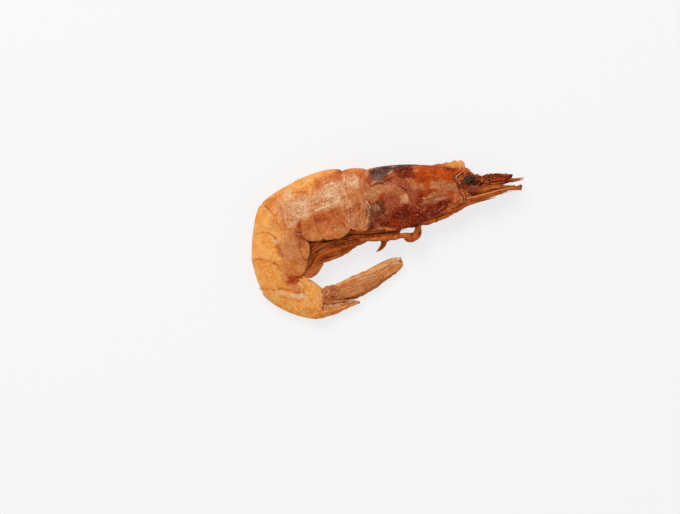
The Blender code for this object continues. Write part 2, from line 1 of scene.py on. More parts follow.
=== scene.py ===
"""A dried shrimp that lies on its left side with its tail curled under: the fine surface over its solids.

Every piece is a swept or lofted skin whose folds are real geometry. Each point also carries how much of each
colour it took as it dried, as named values that the materials mix; some of these are painted shade in hollows
and painted highlight on crests. Lengths are in millimetres of the side view, in which x runs to the head and
y to the back. A finished piece is moved to the frame and in metres.
"""

import itertools
import math

import bpy
import numpy as np
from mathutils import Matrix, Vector


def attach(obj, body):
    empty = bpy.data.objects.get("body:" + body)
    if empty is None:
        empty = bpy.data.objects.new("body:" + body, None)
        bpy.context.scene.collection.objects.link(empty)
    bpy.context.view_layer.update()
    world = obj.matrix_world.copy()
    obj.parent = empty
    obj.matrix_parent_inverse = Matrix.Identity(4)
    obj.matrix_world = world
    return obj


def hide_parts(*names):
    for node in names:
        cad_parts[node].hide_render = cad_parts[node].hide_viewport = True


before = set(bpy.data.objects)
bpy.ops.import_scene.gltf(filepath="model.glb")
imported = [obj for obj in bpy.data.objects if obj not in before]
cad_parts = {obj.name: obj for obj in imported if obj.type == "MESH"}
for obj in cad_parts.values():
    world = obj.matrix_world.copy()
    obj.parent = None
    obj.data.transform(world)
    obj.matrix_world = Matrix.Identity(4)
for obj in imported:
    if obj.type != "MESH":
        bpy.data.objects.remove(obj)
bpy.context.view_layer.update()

MM = 0.001
FOOTPRINT_MIDDLE = np.array((-0.021, -0.169, 0.0))  # where the origin of the frame lies in the side view
SHELL_STEP = 0.15  # between the points down a plate of the shell
LIMB_STEP, HAIR_STEP = 0.16, 0.36  # between the rings along a swept piece, and along a hair-thin one
CAMERA_HEIGHT = 0.6
ANIMAL_MIDDLE = 0.0045  # the height at which the frame is as wide as the next
FRAME_WIDTH = 0.17  # what the picture shows from side to side
SENSOR_MM = 36
FRAME_CENTRE = (-11.8, -4.3)  # the middle of the picture in the side view
KEY_PLACE, KEY_SIZE = Vector((-0.22, 0.38, 0.55)), 0.32  # the soft box, in metres
SURROUND = 0.66  # strength of the white surround
KEY_POWER = 2.6  # watts of the soft box
TABLE_GLOW = 0.73  # light that comes through the table top
FLAT_DEPTH = 0.16  # how much the left flank is worn flat where it rests
UP = np.array((0.0, 0.0, 1.0))

# The colours that a point of the shell can have taken, laid over each other in this order, and last its fold:
# how far it stands on a crest, or, below nothing, in a hollow, by which the material paints highlight on crests
# and shade in hollows
CHANNELS = ("amber", "tan", "plum", "rust", "umber", "wine", "char", "chalk", "fold")

# Large odd numbers that scramble the number of a cell into noise
SCRAMBLE = (374761393, 668265263, 2147483647)
RESCRAMBLE = 1274126177
LOW_BITS = 0xFFFFFFFF


# Small sums

def lerp(a, b, share):
    """The value at a share of the way from one to another."""
    return a + (b - a) * share


def smooth(share):
    """0 to 1 with level ends."""
    share = np.clip(share, 0.0, 1.0)
    return share * share * (3 - 2 * share)


def hump(share, peak=0.5, power=1.0):
    """0 at both ends of 0 to 1, and 1 at the peak."""
    share = np.clip(share, 0.0, 1.0)
    return np.maximum(0.0, np.sin(np.pi * share ** (math.log(0.5) / math.log(peak)))) ** power


def unit(vectors):
    """Vectors cut to a length of one."""
    return vectors / np.maximum(np.linalg.norm(vectors, axis=-1, keepdims=True), 1e-12)


def clouds(places, size, seed, octaves=3):
    """Smooth random values, about -1 to 1, whose lumps are as far apart as the size."""
    total = np.zeros(len(places))
    for octave in range(octaves):
        cell = places / size * 2.0**octave + seed * 19.19 + octave * 7.7
        low = np.floor(cell).astype(np.int64)
        part = cell - low
        ease = part * part * (3 - 2 * part)
        for corner in itertools.product((0, 1), repeat=3):
            mixed = (low + corner) @ np.array(SCRAMBLE) & LOW_BITS
            mixed = ((mixed ^ (mixed >> 13)) * RESCRAMBLE) & LOW_BITS
            value = ((mixed ^ (mixed >> 16)) & 0xFFFF) / 32767.5 - 1
            total += value * np.prod(np.where(corner, ease, 1 - ease), axis=1) * 0.55**octave
    return total * 1.25


def ridges(places, size, seed, octaves=3):
    """Sharp-crested wrinkles from 0 to 1."""
    return np.clip(1 - 2.2 * np.abs(clouds(places, size, seed, octaves)), 0, 1)


def distance_to_route(places, route):
    """Distance in the side view from each place to a line through points."""
    nearest = np.full(len(places), 1e9)
    for start, end in itertools.pairwise(route):
        start, run = np.array(start), np.subtract(end, start)
        share = np.clip(((places[:, :2] - start) @ run) / (run @ run), 0, 1)
        nearest = np.minimum(nearest, np.linalg.norm(places[:, :2] - start - share[:, None] * run, axis=1))
    return nearest


# Patches of colour that the shell took as it dried, in the side view.
# Each is an oval: its middle's x and y, its two half lengths, its turn in degrees, and how strong it is.
MARKS = {
    "amber": (
        (-23.55, 14.7, 7.5, 1.9, 26, 1.0), (-17.3, 16.7, 4.5, 1.4, 12, 0.8), (-21.3, 12.7, 3.8, 1.9, 20, 0.75),
        (-29.8, 6.95, 3.2, 2.2, 50, 0.8), (-32.3, 3.7, 2.4, 5.0, 0, 1.0), (-31.3, -1.3, 4.2, 4.4, 0, 1.0),
        (-31.3, -5.55, 3.6, 4.2, 10, 0.95), (-29.8, -9.3, 3.4, 4.2, 30, 1.0), (-27.8, -12.55, 4.6, 2.6, -40, 0.9),
        (-24.3, -15.55, 6.6, 2.8, -25, 1.0), (-19.55, -17.55, 4.6, 2.4, -14, 1.0),
        (-18.8, -12.05, 3.4, 2.2, -44, 0.9), (-20.8, -10.8, 2.2, 1.2, -30, 0.6), (-9.3, 17.45, 3.0, 0.7, 0, 0.5),
        (-25.55, 10.45, 2.2, 1.4, 40, 0.6), (7.7, 13.7, 1.7, 1.5, 0, 0.5), (12.45, 13.45, 1.2, 0.8, 0, 0.3),
        (17.95, 19.2, 1.8, 0.8, 8, 0.9), (-25.3, -1.55, 4.0, 9.0, 0, 0.35), (-29.8, 4.45, 4.0, 4.0, 0, 0.3),
        (-21.8, -5.05, 3.0, 3.0, 0, 0.2),
    ),
    "chalk": (
        (-14.3, 11.2, 3.3, 2.5, 20, 0.75), (-13.3, 12.95, 1.8, 1.6, 0, 0.5), (-21.55, 7.45, 3.4, 2.6, 40, 0.6),
        (-24.55, 11.7, 1.9, 1.1, 60, 0.6), (-8.8, 14.2, 2.6, 2.0, 0, 0.5), (-23.8, 8.7, 1.8, 1.6, 0, 0.4),
        (-14.55, 8.55, 3.4, 0.8, 22, 0.6), (-29.45, 2.6, 1.1, 0.5, 0, 0.35), (-27.65, -0.4, 0.6, 0.4, -30, 0.6),
        (-26.4, 0.2, 0.4, 0.3, 0, 0.45), (-33.2, 4.45, 0.45, 2.4, -8, 0.5), (-33.45, 0.7, 0.4, 2.4, 0, 0.4),
        (-29.9, -14.05, 1.0, 0.7, -50, 0.7), (-21.55, -14.3, 2.0, 0.7, -12, 0.5), (-11.55, 2.3, 2.0, 1.0, -8, 0.35),
        (-8.05, 4.45, 1.9, 1.8, 0, 0.3), (-20.3, 15.2, 3.0, 0.5, 26, 0.4), (-28.05, 8.95, 1.2, 0.6, 50, 0.3),
        (-23.55, 3.7, 1.5, 0.8, 20, 0.3), (-10.8, 9.2, 2.0, 1.2, 40, 0.35), (-17.05, -14.05, 0.6, 1.4, 10, 0.4),
        (-5.3, 16.7, 0.5, 1.4, 0, 0.35), (-3.3, 7.95, 1.2, 1.0, 0, 0.25), (16.2, 13.45, 2.0, 1.2, 20, 0.22),
        (1.2, 15.95, 1.6, 0.7, 15, 0.22), (12.45, 9.7, 2.6, 0.8, 8, 0.3), (17.45, 10.45, 2.2, 1.4, 0, 0.2),
        (14.7, 12.95, 2.6, 1.6, 20, 0.1), (-24.3, -14.05, 4.4, 0.5, -14, 0.3), (-32.3, -7.55, 0.5, 3.6, 14, 0.3),
        (-17.8, -4.8, 0.8, 0.8, 0, 0.3), (-24.55, -2.05, 2.6, 3.0, 0, 0.28), (-26.55, 7.95, 1.8, 2.6, 10, 0.3),
        (-21.8, 8.45, 6.0, 3.4, 35, 0.18), (-31.3, 2.95, 1.6, 0.8, 0, 0.3), (-3.8, 11.55, 2.1, 1.7, 10, 0.24),
        (1.2, 13.3, 2.6, 0.7, -22, 0.24), (3.85, 9.95, 1.2, 1.6, -20, 0.36), (-20.8, -13.3, 1.6, 1.0, 0, 0.35),
        (0.7, 16.7, 0.7, 0.4, 40, 0.25), (6.95, 16.7, 1.2, 0.5, 0, 0.3), (-1.8, 3.08, 2.6, 0.4, -4, 0.3),
    ),
    "tan": (
        (-7.8, 5.95, 2.6, 3.4, 0, 0.45), (-13.05, 2.95, 3.6, 1.8, 0, 0.35), (-21.8, -1.8, 3.6, 3.4, 0, 0.4),
        (-24.8, -2.8, 2.4, 3.0, 0, 0.3), (6.7, 11.2, 14.0, 8.0, 0, 1.0),
    ),
    "rust": (
        (-6.95, 15.85, 1.0, 1.1, 0, 0.75), (-11.55, 17.2, 1.8, 0.8, 0, 0.5), (-29.55, 8.2, 2.6, 1.2, 45, 0.4),
        (-20.55, 11.8, 2.4, 0.7, 8, 0.45), (-16.3, 5.2, 2.6, 0.9, 6, 0.6), (-21.55, 4.2, 0.8, 1.5, 0, 0.7),
        (-24.3, 5.2, 1.6, 1.4, 0, 0.35), (-32.8, -4.8, 4.6, 0.35, -4, 0.4), (-23.05, -9.8, 1.6, 0.8, 10, 0.7),
        (-27.05, -2.8, 0.9, 1.8, 30, 0.45), (-18.8, -18.05, 3.6, 0.8, -8, 0.35), (-21.8, 0.95, 2.2, 1.3, 20, 0.4),
        (-9.8, 15.95, 1.0, 1.8, 0, 0.3), (-16.8, -16.05, 0.7, 1.4, 20, 0.4), (-29.3, -5.55, 2.6, 0.5, -10, 0.35),
        (12.2, 16.95, 6.2, 2.3, 0, 1.0), (7.95, 15.7, 2.2, 1.7, 0, 0.9), (15.95, 15.2, 2.6, 1.1, 0, 0.8),
        (-1.55, 10.3, 1.5, 0.5, 61, 0.9), (0.95, 6.2, 1.3, 2.0, 0, 0.45), (9.95, 13.7, 0.9, 1.9, 0, 0.75),
        (14.95, 6.7, 3.4, 1.3, 28, 0.9), (17.2, 10.45, 2.6, 1.7, 0, 0.85), (9.45, 11.45, 1.6, 0.7, 30, 0.8),
        (7.95, 7.95, 1.6, 0.9, 0, 0.6), (13.95, 12.2, 2.0, 0.7, 10, 0.4), (-26.3, -13.05, 7.0, 4.0, -30, 0.15),
        (-0.05, 15.45, 2.0, 0.7, 15, 0.6), (10.7, 11.7, 1.8, 0.7, 25, 0.8),
    ),
    "plum": (
        (-21.55, 0.45, 1.7, 1.5, 0, 0.45), (-4.55, 15.45, 0.9, 2.0, 0, 0.95), (2.95, 13.95, 3.7, 1.5, -20, 1.0),
        (0.45, 15.7, 2.2, 0.6, 28, 0.8), (0.7, 9.8, 2.3, 1.8, 10, 1.0), (7.2, 10.7, 2.3, 1.7, 0, 0.9),
        (10.7, 8.95, 2.2, 0.8, 8, 0.8), (15.2, 9.7, 1.0, 1.0, 0, 0.6), (4.7, 12.7, 1.6, 1.0, -30, 0.7),
        (2.7, 7.95, 2.6, 0.9, 0, 0.7), (14.7, 17.7, 2.2, 0.7, 0, 0.6), (6.7, 8.7, 2.2, 0.8, 0, 0.6),
    ),
    "umber": (
        (-19.3, -10.3, 1.6, 0.5, 0, 0.3), (-2.55, 6.2, 2.9, 3.2, 0, 0.9), (-4.15, 7.55, 0.9, 1.6, 0, 0.7),
        (9.95, 8.7, 2.2, 0.7, 10, 0.55), (-0.55, 14.95, 1.9, 0.3, 24, 0.5), (19.45, 14.95, 3.0, 2.2, 0, 0.7),
        (-3.3, 3.7, 2.4, 1.0, 0, 0.7), (4.2, 13.3, 2.0, 0.35, -30, 0.5), (-22.05, 1.95, 1.3, 1.0, 0, 0.5),
        (-17.3, 4.45, 2.2, 0.6, 10, 0.25), (10.45, 11.7, 1.8, 0.6, 25, 0.45),
    ),
    "wine": (
        (4.2, 16.7, 2.9, 1.6, -8, 1.0), (5.95, 15.7, 1.3, 0.8, -20, 0.7), (4.95, 5.7, 5.2, 2.8, 4, 1.0),
        (11.95, 7.45, 2.9, 1.5, 22, 1.0), (1.7, 3.95, 4.0, 1.3, 0, 0.9), (5.7, 3.45, 5.0, 1.2, 4, 0.95),
        (17.45, 15.7, 1.1, 1.3, 0, 0.6), (16.2, 17.85, 3.0, 0.5, 2, 0.65), (8.2, 9.7, 0.9, 1.3, -30, 0.5),
        (-2.3, 4.45, 2.0, 1.2, 0, 0.5), (13.7, 8.95, 1.8, 0.7, 16, 0.55),
    ),
    "char": (
        (-2.3, 16.7, 2.5, 1.6, 12, 1.0), (-2.95, 15.2, 1.0, 1.3, 20, 0.95), (-1.8, 15.8, 2.3, 0.8, 33, 0.9),
        (3.95, 17.2, 1.4, 0.3, 0, 0.3), (3.2, 18.3, 4.2, 0.45, 2, 0.95), (0.2, 17.7, 2.2, 1.0, 8, 0.9),
        (-3.05, 5.7, 1.2, 0.7, 0, 0.35), (11.7, 6.7, 1.6, 0.5, 16, 0.35),
    ),
}

# Creases and ridges of the dried shell in the side view.
# Each has its route, half width, height (below nothing for a crease), and the colour that it takes and how strongly.
# A dark colour in a crease is partly the shell's own and partly painted shade; a pale one on a ridge is partly painted
# highlight.
CREASES = (
    # first ring: the front hem, the arcs round its flap, and the folds above them
    (((-5.85, 15.95), (-6.15, 13.95), (-6, 12.45), (-5.3, 10.2), (-4.55, 7.45), (-4.25, 4.7), (-5.3, 2.7)),
      0.2, 0.07, "chalk", 0.25),
    (((-8.55, 8.7), (-8.17, 5.95), (-8.85, 3.95), (-9.9, 2.7)), 0.22, 0.12, "rust", 0.45),
    (((-7.55, 9.95), (-6.92, 6.95), (-7.4, 4.45), (-8.8, 2.7)), 0.16, -0.14, "rust", 0.45),
    (((-8.8, 16.3), (-7.45, 15.05), (-8.8, 13.7), (-9.8, 14.2)), 0.14, 0.12, "chalk", 0.55),
    (((-5.55, 8.95), (-4.7, 6.7), (-5.2, 3.95), (-6.8, 2.45)), 0.16, 0.12, "chalk", 0.35),
    (((-9.3, 9.2), (-9.45, 6.45), (-8.7, 3.45)), 0.15, -0.12, "rust", 0.4),
    (((-6.55, 10.2), (-5.65, 6.95), (-6.05, 4.2), (-7.55, 2.7)), 0.16, 0.1, "chalk", 0.25),
    (((-11.55, 17.33), (-12.3, 13.95), (-11.42, 10.95), (-10.3, 8.2), (-9.92, 5.2), (-11.05, 2.95)),
      0.22, -0.06, "rust", 0.4),
    (((-10.55, 15.95), (-11.17, 13.2), (-10.3, 10.7)), 0.14, 0.1, "chalk", 0.7),
    (((-10.3, 10.2), (-9.15, 8.95), (-9.8, 6.45), (-9.8, 4.45)), 0.16, 0.1, "chalk", 0.35),
    # second ring: the pale ridge, the fold under it, and the line down to its flap
    (((-17.8, 7.2), (-16.3, 7.75), (-14.3, 8.45), (-12.3, 9.45), (-11.7, 10.45)), 0.2, 0.26, "chalk", 0.9),
    (((-19.05, 8.2), (-17.8, 8.95), (-16.3, 9.3), (-14.3, 9.45)), 0.2, -0.12, "rust", 0.5),
    (((-18.55, 10.7), (-17.55, 9.45), (-16.05, 8.7), (-14.55, 9.2)), 0.16, 0.12, "chalk", 0.6),
    (((-15.8, 12.95), (-14.55, 13.8), (-13.05, 14), (-12.45, 12.95)), 0.16, 0.14, "chalk", 0.6),
    (((-17.3, 11.95), (-16.05, 11.2), (-14.55, 11.55), (-13.55, 12.45)), 0.15, -0.1, "rust", 0.45),
    (((-15.05, 10.3), (-13.55, 10.95), (-12.4, 10.45)), 0.15, 0.12, "chalk", 0.5),
    (((-20.3, 13.95), (-19.05, 12.95), (-19.3, 11.45)), 0.16, 0.1, "chalk", 0.45),
    (((-17.4, 5.45), (-16.55, 4.7), (-15.65, 5.3), (-14.8, 4.55), (-14.05, 5.05)), 0.14, -0.1, "rust", 0.6),
    (((-18.05, 5.95), (-17.67, 3.45), (-16.55, 1.45), (-16.05, 0.2)), 0.18, -0.12, "umber", 0.4),
    (((-14.05, 7.05), (-12.55, 5.45), (-11.05, 3.8), (-10.05, 2.7)), 0.16, -0.14, "rust", 0.6),
    (((-13.3, 6.45), (-11.8, 4.95), (-10.05, 3.33)), 0.18, 0.12, "chalk", 0.4),
    (((-17.05, 5.95), (-16.55, 4.45), (-15.05, 3.45), (-13.3, 3.45)), 0.14, 0.1, "chalk", 0.35),
    (((-20.8, 6.7), (-19.3, 7.7), (-17.3, 8.05)), 0.3, 0.14, "rust", 0.3),
    (((-21.05, 6.45), (-21.9, 4.45), (-21.7, 1.95)), 0.3, -0.06, "rust", 0.6),
    # third ring: the folds that run across to its flap
    (((-31.3, 7.95), (-29.8, 6.7), (-28.55, 4.7), (-27.8, 2.7)), 0.14, 0.1, "chalk", 0.4),
    (((-30.55, 8.7), (-29.05, 7.2), (-27.8, 5.7)), 0.2, -0.07, "rust", 0.5),
    (((-27.05, 8.95), (-26.05, 6.95), (-25.55, 4.7), (-24.8, 2.95), (-24.05, 2.2)), 0.2, -0.08, "rust", 0.4),
    (((-25.8, 6.45), (-25.15, 4.45), (-24.15, 2.85), (-22.8, 4.2), (-21.8, 5.7)), 0.18, 0.12, "chalk", 0.25),
    (((-28.05, 8.7), (-27.05, 6.7), (-26.8, 4.45), (-25.8, 2.7)), 0.2, 0.08, "chalk", 0.2),
    (((-21.8, 1.7), (-21.05, 0.2), (-19.55, -0.3)), 0.2, -0.14, "plum", 0.8),
    (((-23.05, 2.2), (-22.3, 1.2), (-21.3, 1.7)), 0.14, 0.1, "chalk", 0.5),
    # fourth ring: the arc of its front hem and the lines of its flap
    (((-32.8, 1.6), (-31.3, 1.85), (-29.55, 1.7), (-28.05, 0.8), (-26.8, -0.8)), 0.15, 0.06, "rust", 0.55),
    (((-32.55, 1.45), (-32.15, -0.3), (-31.95, -2.55)), 0.14, 0.07, "rust", 0.3),
    (((-28.3, 0.95), (-27.55, -0.8), (-26.7, -2.3), (-25.8, -3.55)), 0.4, 0.06, "rust", 0.4),
    (((-21.7, -0.8), (-21.65, -2.55), (-21.05, -4.3), (-20.05, -5.3)), 0.17, -0.14, "umber", 0.6),
    (((-24.55, -5.05), (-23.3, -5.95), (-21.55, -6.2), (-19.8, -5.7)), 0.16, -0.08, "umber", 0.4),
    # fifth ring: its front hem, the folds of the flank and the knob that ends its flap
    (((-33.9, -5.3), (-32.3, -4.95), (-30.3, -4.8), (-28.55, -4.55), (-26.55, -5.8)), 0.24, -0.04, "rust", 0.3),
    (((-31.8, -6.05), (-30.8, -7.8), (-29.3, -9.8), (-27.8, -11.05)), 0.2, 0.08, "amber", 0.4),
    (((-28.3, -5.8), (-26.55, -7.8), (-24.8, -9.3), (-23.8, -10.3)), 0.2, -0.1, "rust", 0.45),
    (((-24.65, -10.55), (-24.15, -9.4), (-22.8, -8.8), (-21.65, -9.25)), 0.3, 0.16, "rust", 0.9),
    (((-23.95, -10.65), (-23.05, -10.3), (-22.05, -10.2)), 0.22, -0.05, "wine", 0.6),
    # sixth ring: the front hem, the ridge along its flank and the keel's line
    (((-31.3, -12.05), (-29.3, -12.55), (-27.55, -12.55), (-25.8, -11.8)), 0.18, -0.03, "rust", 0.35),
    (((-27.55, -12.8), (-25.3, -13.45), (-22.55, -14.45), (-19.8, -14.55)), 0.34, 0.14, "chalk", 0.35),
    (((-27.3, -11.95), (-24.8, -12.45), (-22.05, -13.3), (-20.3, -13.3)), 0.24, -0.06, "rust", 0.45),
    (((-26.3, -14.05), (-23.8, -15.05), (-21.3, -15.55)), 0.18, -0.08, "rust", 0.35),
    (((-21.05, -10.55), (-20.3, -11.8), (-20.8, -13.3)), 0.18, -0.08, "rust", 0.4),
    (((-16.8, -12.8), (-17.4, -14.55), (-16.65, -16.05), (-15.9, -17.3)), 0.22, 0.08, "chalk", 0.6),
    # carapace: the curved edge of the sunken skin, the groove under it, the spine and its groove
    (((-3.8, 13.7), (-1.8, 14.45), (-0.3, 14.45), (1.7, 13.2), (3.7, 12.2), (4.95, 10.7), (5.2, 9.7)),
      0.2, 0.26, "tan", 0.9),
    (((0.2, 14.8), (2.2, 13.7), (4.2, 12.45), (5.6, 10.85), (5.85, 9.55)), 0.16, -0.1, "umber", 0.35),
    (((-4.05, 13.3), (-2.05, 13.95), (-0.55, 13.8)), 0.2, -0.14, "umber", 0.5),
    (((-1.55, 11.45), (-1.8, 10.2), (-2.55, 9.2)), 0.26, -0.12, "rust", 0.5),
    (((7.45, 9.2), (8.45, 10.45), (10.2, 11.45), (11.7, 12.3)), 0.24, -0.18, "rust", 0.9),
    (((8.8, 10.35), (9.45, 10.05)), 0.11, 0.2, "chalk", 0.8),
    (((9.7, 9.95), (11.7, 10.35), (14.2, 10.8)), 0.2, -0.1, "umber", 0.5),
    (((-3.4, 13.8), (-1.3, 14.6), (0.7, 15.25), (2.2, 16.05)), 0.17, -0.16, "umber", 0.75),
    (((-3.9, 13.65), (-3.3, 14.25), (-2.45, 14.7)), 0.11, 0.1, "chalk", 0.4),
    (((-0.4, 16.3), (0.4, 16.8), (1.05, 17.3)), 0.13, 0.08, "chalk", 0.3),
    (((2.6, 13.2), (3.7, 12.45), (4.6, 11.45), (5.15, 10.3)), 0.14, 0.08, "chalk", 0.25),
    (((3.55, 13.1), (4.7, 12.45), (5.95, 11.85)), 0.17, -0.14, "umber", 0.7),
    (((-5.55, 10.8), (-5.05, 9.7), (-4.05, 9.15), (-2.45, 9.05)), 0.17, -0.12, "umber", 0.6),
    (((-2.95, 8.7), (-3.05, 7.2)), 0.16, 0.12, "chalk", 0.2),
    (((-3.8, 7.95), (-3.3, 5.95), (-2.05, 3.95)), 0.16, -0.1, "umber", 0.6),
    (((-2.3, 8.2), (-1.55, 6.45), (-0.3, 4.7)), 0.15, 0.1, "chalk", 0.3),
    (((-4.1, 6.7), (-3.55, 4.7), (-1.8, 3.45)), 0.14, 0.1, "chalk", 0.25),
    (((16.95, 15.3), (17.95, 16.3), (19.1, 17.45)), 0.2, 0.24, "chalk", 0.6),
    (((17.05, 15.45), (17.6, 14.45), (18.35, 13.7)), 0.18, 0.2, "chalk", 0.55),
    (((-5.15, 9.45), (-4.45, 8.85), (-4.15, 8.1)), 0.16, 0.08, "chalk", 0.55),
    (((12.2, 6.7), (13.2, 7.7), (14.2, 8.55)), 0.1, 0.1, "chalk", 0.45),
    (((13.2, 6.7), (14.7, 7.55), (16.2, 8.35)), 0.1, 0.08, "chalk", 0.35),
    (((10.7, 5.2), (13.2, 6.3), (15.7, 7.45), (18.2, 8.45)), 0.2, -0.12, "wine", 0.6),
    (((16.6, 11.45), (16.95, 10.2), (16.7, 9.2)), 0.12, 0.1, "chalk", 0.3),
    (((17.85, 11.7), (18.35, 10.45), (17.95, 9.2)), 0.22, 0.14, "amber", 0.5),
)


# Making a piece

class Skin:
    """Points, faces and colour shares that end up as one mesh."""

    def __init__(self, name):
        self.name = name
        self.points, self.faces = [], []
        self.shares = {channel: [] for channel in CHANNELS}
        self.count = 0

    def add(self, points, faces, shares):
        """Takes in one closed body. A channel that isn't among its shares is nothing."""
        self.points.append(points)
        self.faces += [tuple(index + self.count for index in face) for face in faces]
        self.count += len(points)
        for channel in CHANNELS:
            self.shares[channel].append(np.broadcast_to(shares.get(channel, 0.0), len(points)))

    def finish(self, surface, nodes):
        """Makes the mesh and its object, which rides on the body and stands in for the named solids."""
        points = np.concatenate(self.points)
        points[:, 2] = np.maximum(points[:, 2], 0.0)
        mesh = bpy.data.meshes.new(self.name)
        mesh.from_pydata(((points - FOOTPRINT_MIDDLE) * MM).tolist(), [], self.faces)
        mesh.materials.append(surface)
        for channel, parts in self.shares.items():
            values = mesh.attributes.new(channel, "FLOAT", "POINT")
            values.data.foreach_set("value", np.concatenate(parts).astype(np.float32))
        mesh.shade_smooth()
        obj = bpy.data.objects.new(self.name, mesh)
        bpy.context.scene.collection.objects.link(obj)
        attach(obj, "root")
        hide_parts(*nodes)


def tube_faces(rows, columns, closed=True):
    """Four-sided faces between rings of points, with one face over each end if the tube is closed."""
    faces = []
    for here in range(0, (rows - 1) * columns, columns):
        there = here + columns
        for j in range(columns):
            after = (j + 1) % columns
            faces.append((here + j, here + after, there + after, there + j))
    if closed:
        faces += [tuple(range(columns)), tuple(reversed(range((rows - 1) * columns, rows * columns)))]
    return faces


def tube_normals(grid):
    """Outward directions at the points of rings round a body, by their neighbours on each side."""
    around = np.roll(grid, -1, axis=1) - np.roll(grid, 1, axis=1)
    return unit(np.cross(np.gradient(grid, axis=0), around)).reshape(-1, 3)


def wandered(places, amount, size, octaves):
    """Places pushed about a little, so that a mark's edge isn't drawn with a ruler."""
    push = np.stack([clouds(places, size, seed, octaves) for seed in (11, 12)], axis=1)
    return places[:, :2] + push * amount


CARAPACE_REAR = -6.4  # where the carapace ends in x
ABDOMEN_BLUR, CARAPACE_BLUR = 1.15, 0.6  # width of a patch's soft edge, as a share of its half length
CREASE_REACH = 1.5  # how far from its route a crease still counts
CREASE_FOLD = 2.4  # how strongly a crease adds painted shade to its own hollow, and a ridge painted highlight to its crest


def colour_shares(places):
    """How much of each colour of the dried shell each place has."""
    moved = wandered(places, amount=0.5, size=2.4, octaves=5)
    shares = {"fold": np.zeros(len(places))}
    soft = lerp(ABDOMEN_BLUR, CARAPACE_BLUR, smooth((places[:, 0] - CARAPACE_REAR) / 1.2))
    for channel in CHANNELS[:-1]:
        bare = np.ones(len(places))
        for x, y, reach, breadth, turn, weight in MARKS.get(channel, ()):
            cos, sin = math.cos(math.radians(turn)), math.sin(math.radians(turn))
            across, up = moved[:, 0] - x, moved[:, 1] - y
            away = np.hypot((across * cos + up * sin) / reach, (up * cos - across * sin) / breadth)
            bare *= 1 - weight * smooth((1 + 0.52 * soft - away) / soft)
        shares[channel] = 1 - bare
    return shares


def add_creases(places, shares):
    """Height of the named ridges and creases, whose colours are added to the shares, and whose painted shade in each
    crease and painted highlight on each ridge are added to the fold share.
    """
    height = np.zeros(len(places))
    moved = places.copy()
    moved[:, :2] = wandered(places, amount=0.22, size=1.6, octaves=4)
    for route, width, rise, channel, weight in CREASES:
        corners = np.array(route)
        low, high = corners.min(0) - CREASE_REACH, corners.max(0) + CREASE_REACH
        near = np.all((moved[:, :2] > low) & (moved[:, :2] < high), axis=1)
        if not near.any():
            continue
        profile = np.exp(-(distance_to_route(moved[near], route) / (width * 1.35)) ** 2)
        height[near] += rise * profile
        shares["fold"][near] += profile * rise * CREASE_FOLD
        shares[channel][near] = 1 - (1 - shares[channel][near]) * (1 - weight * profile)
    return height


# The shell plates: the head front, the carapace and the six rings of the abdomen

class Joint:
    """Where two plates meet, from the back line to the lower edge of the flank, bowed to the rear."""

    def __init__(self, dorsal, ventral, half_width, mid_height, bow, bow_peak=0.33):
        self.back = np.array(dorsal)
        self.down = np.subtract(ventral, dorsal)
        self.rearward = np.array((self.down[1], -self.down[0])) / np.linalg.norm(self.down)
        self.half_width, self.mid_height = half_width, mid_height
        self.bow, self.bow_peak = bow, bow_peak

    def point(self, depth):
        """The joint in the side view at a share of the way down it."""
        depth = np.asarray(depth, float)[..., None]
        return self.back + self.down * depth + self.rearward * self.bow * hump(depth, self.bow_peak, 1.4)


def lying(dorsal, ventral, half_width, bow):
    """A joint of the part that rests on the floor, with a small flat worn on its left flank."""
    return Joint(dorsal, ventral, half_width, half_width - FLAT_DEPTH, bow)


SNOUT = Joint((23.6, 16.2), (23.2, 11.3), 1.5, 3.5, 0.0)
HEAD_REAR = Joint((19.0, 17.2), (18.3, 8.9), 2.6, 3.7, 1.5, 0.28)
CARAPACE_FRONT = Joint((19.0, 17.75), (18.2, 8.5), 3.1, 3.75, 1.5, 0.28)
# From the carapace to the telson: the point on the back, the point below, the half width and the bow
JOINTS = (
    lying((-5.3, 17.45), (-4.05, 3.7), 4.45, 0.9),
    lying((-11.15, 17.2), (-9.2, 3.0), 4.4, 1.0),
    lying((-23.35, 14.48), (-15.8, 0.4), 4.2, 1.0),
    lying((-31.55, 8.6), (-20.0, -0.2), 3.8, 1.2),
    lying((-33.8, -5.5), (-20.4, -5.1), 3.4, 0.6),
    lying((-31.1, -12.95), (-21.6, -9.0), 2.8, 0.6),
    lying((-17.05, -19.7), (-15.7, -12.7), 2.0, 0.3),
)


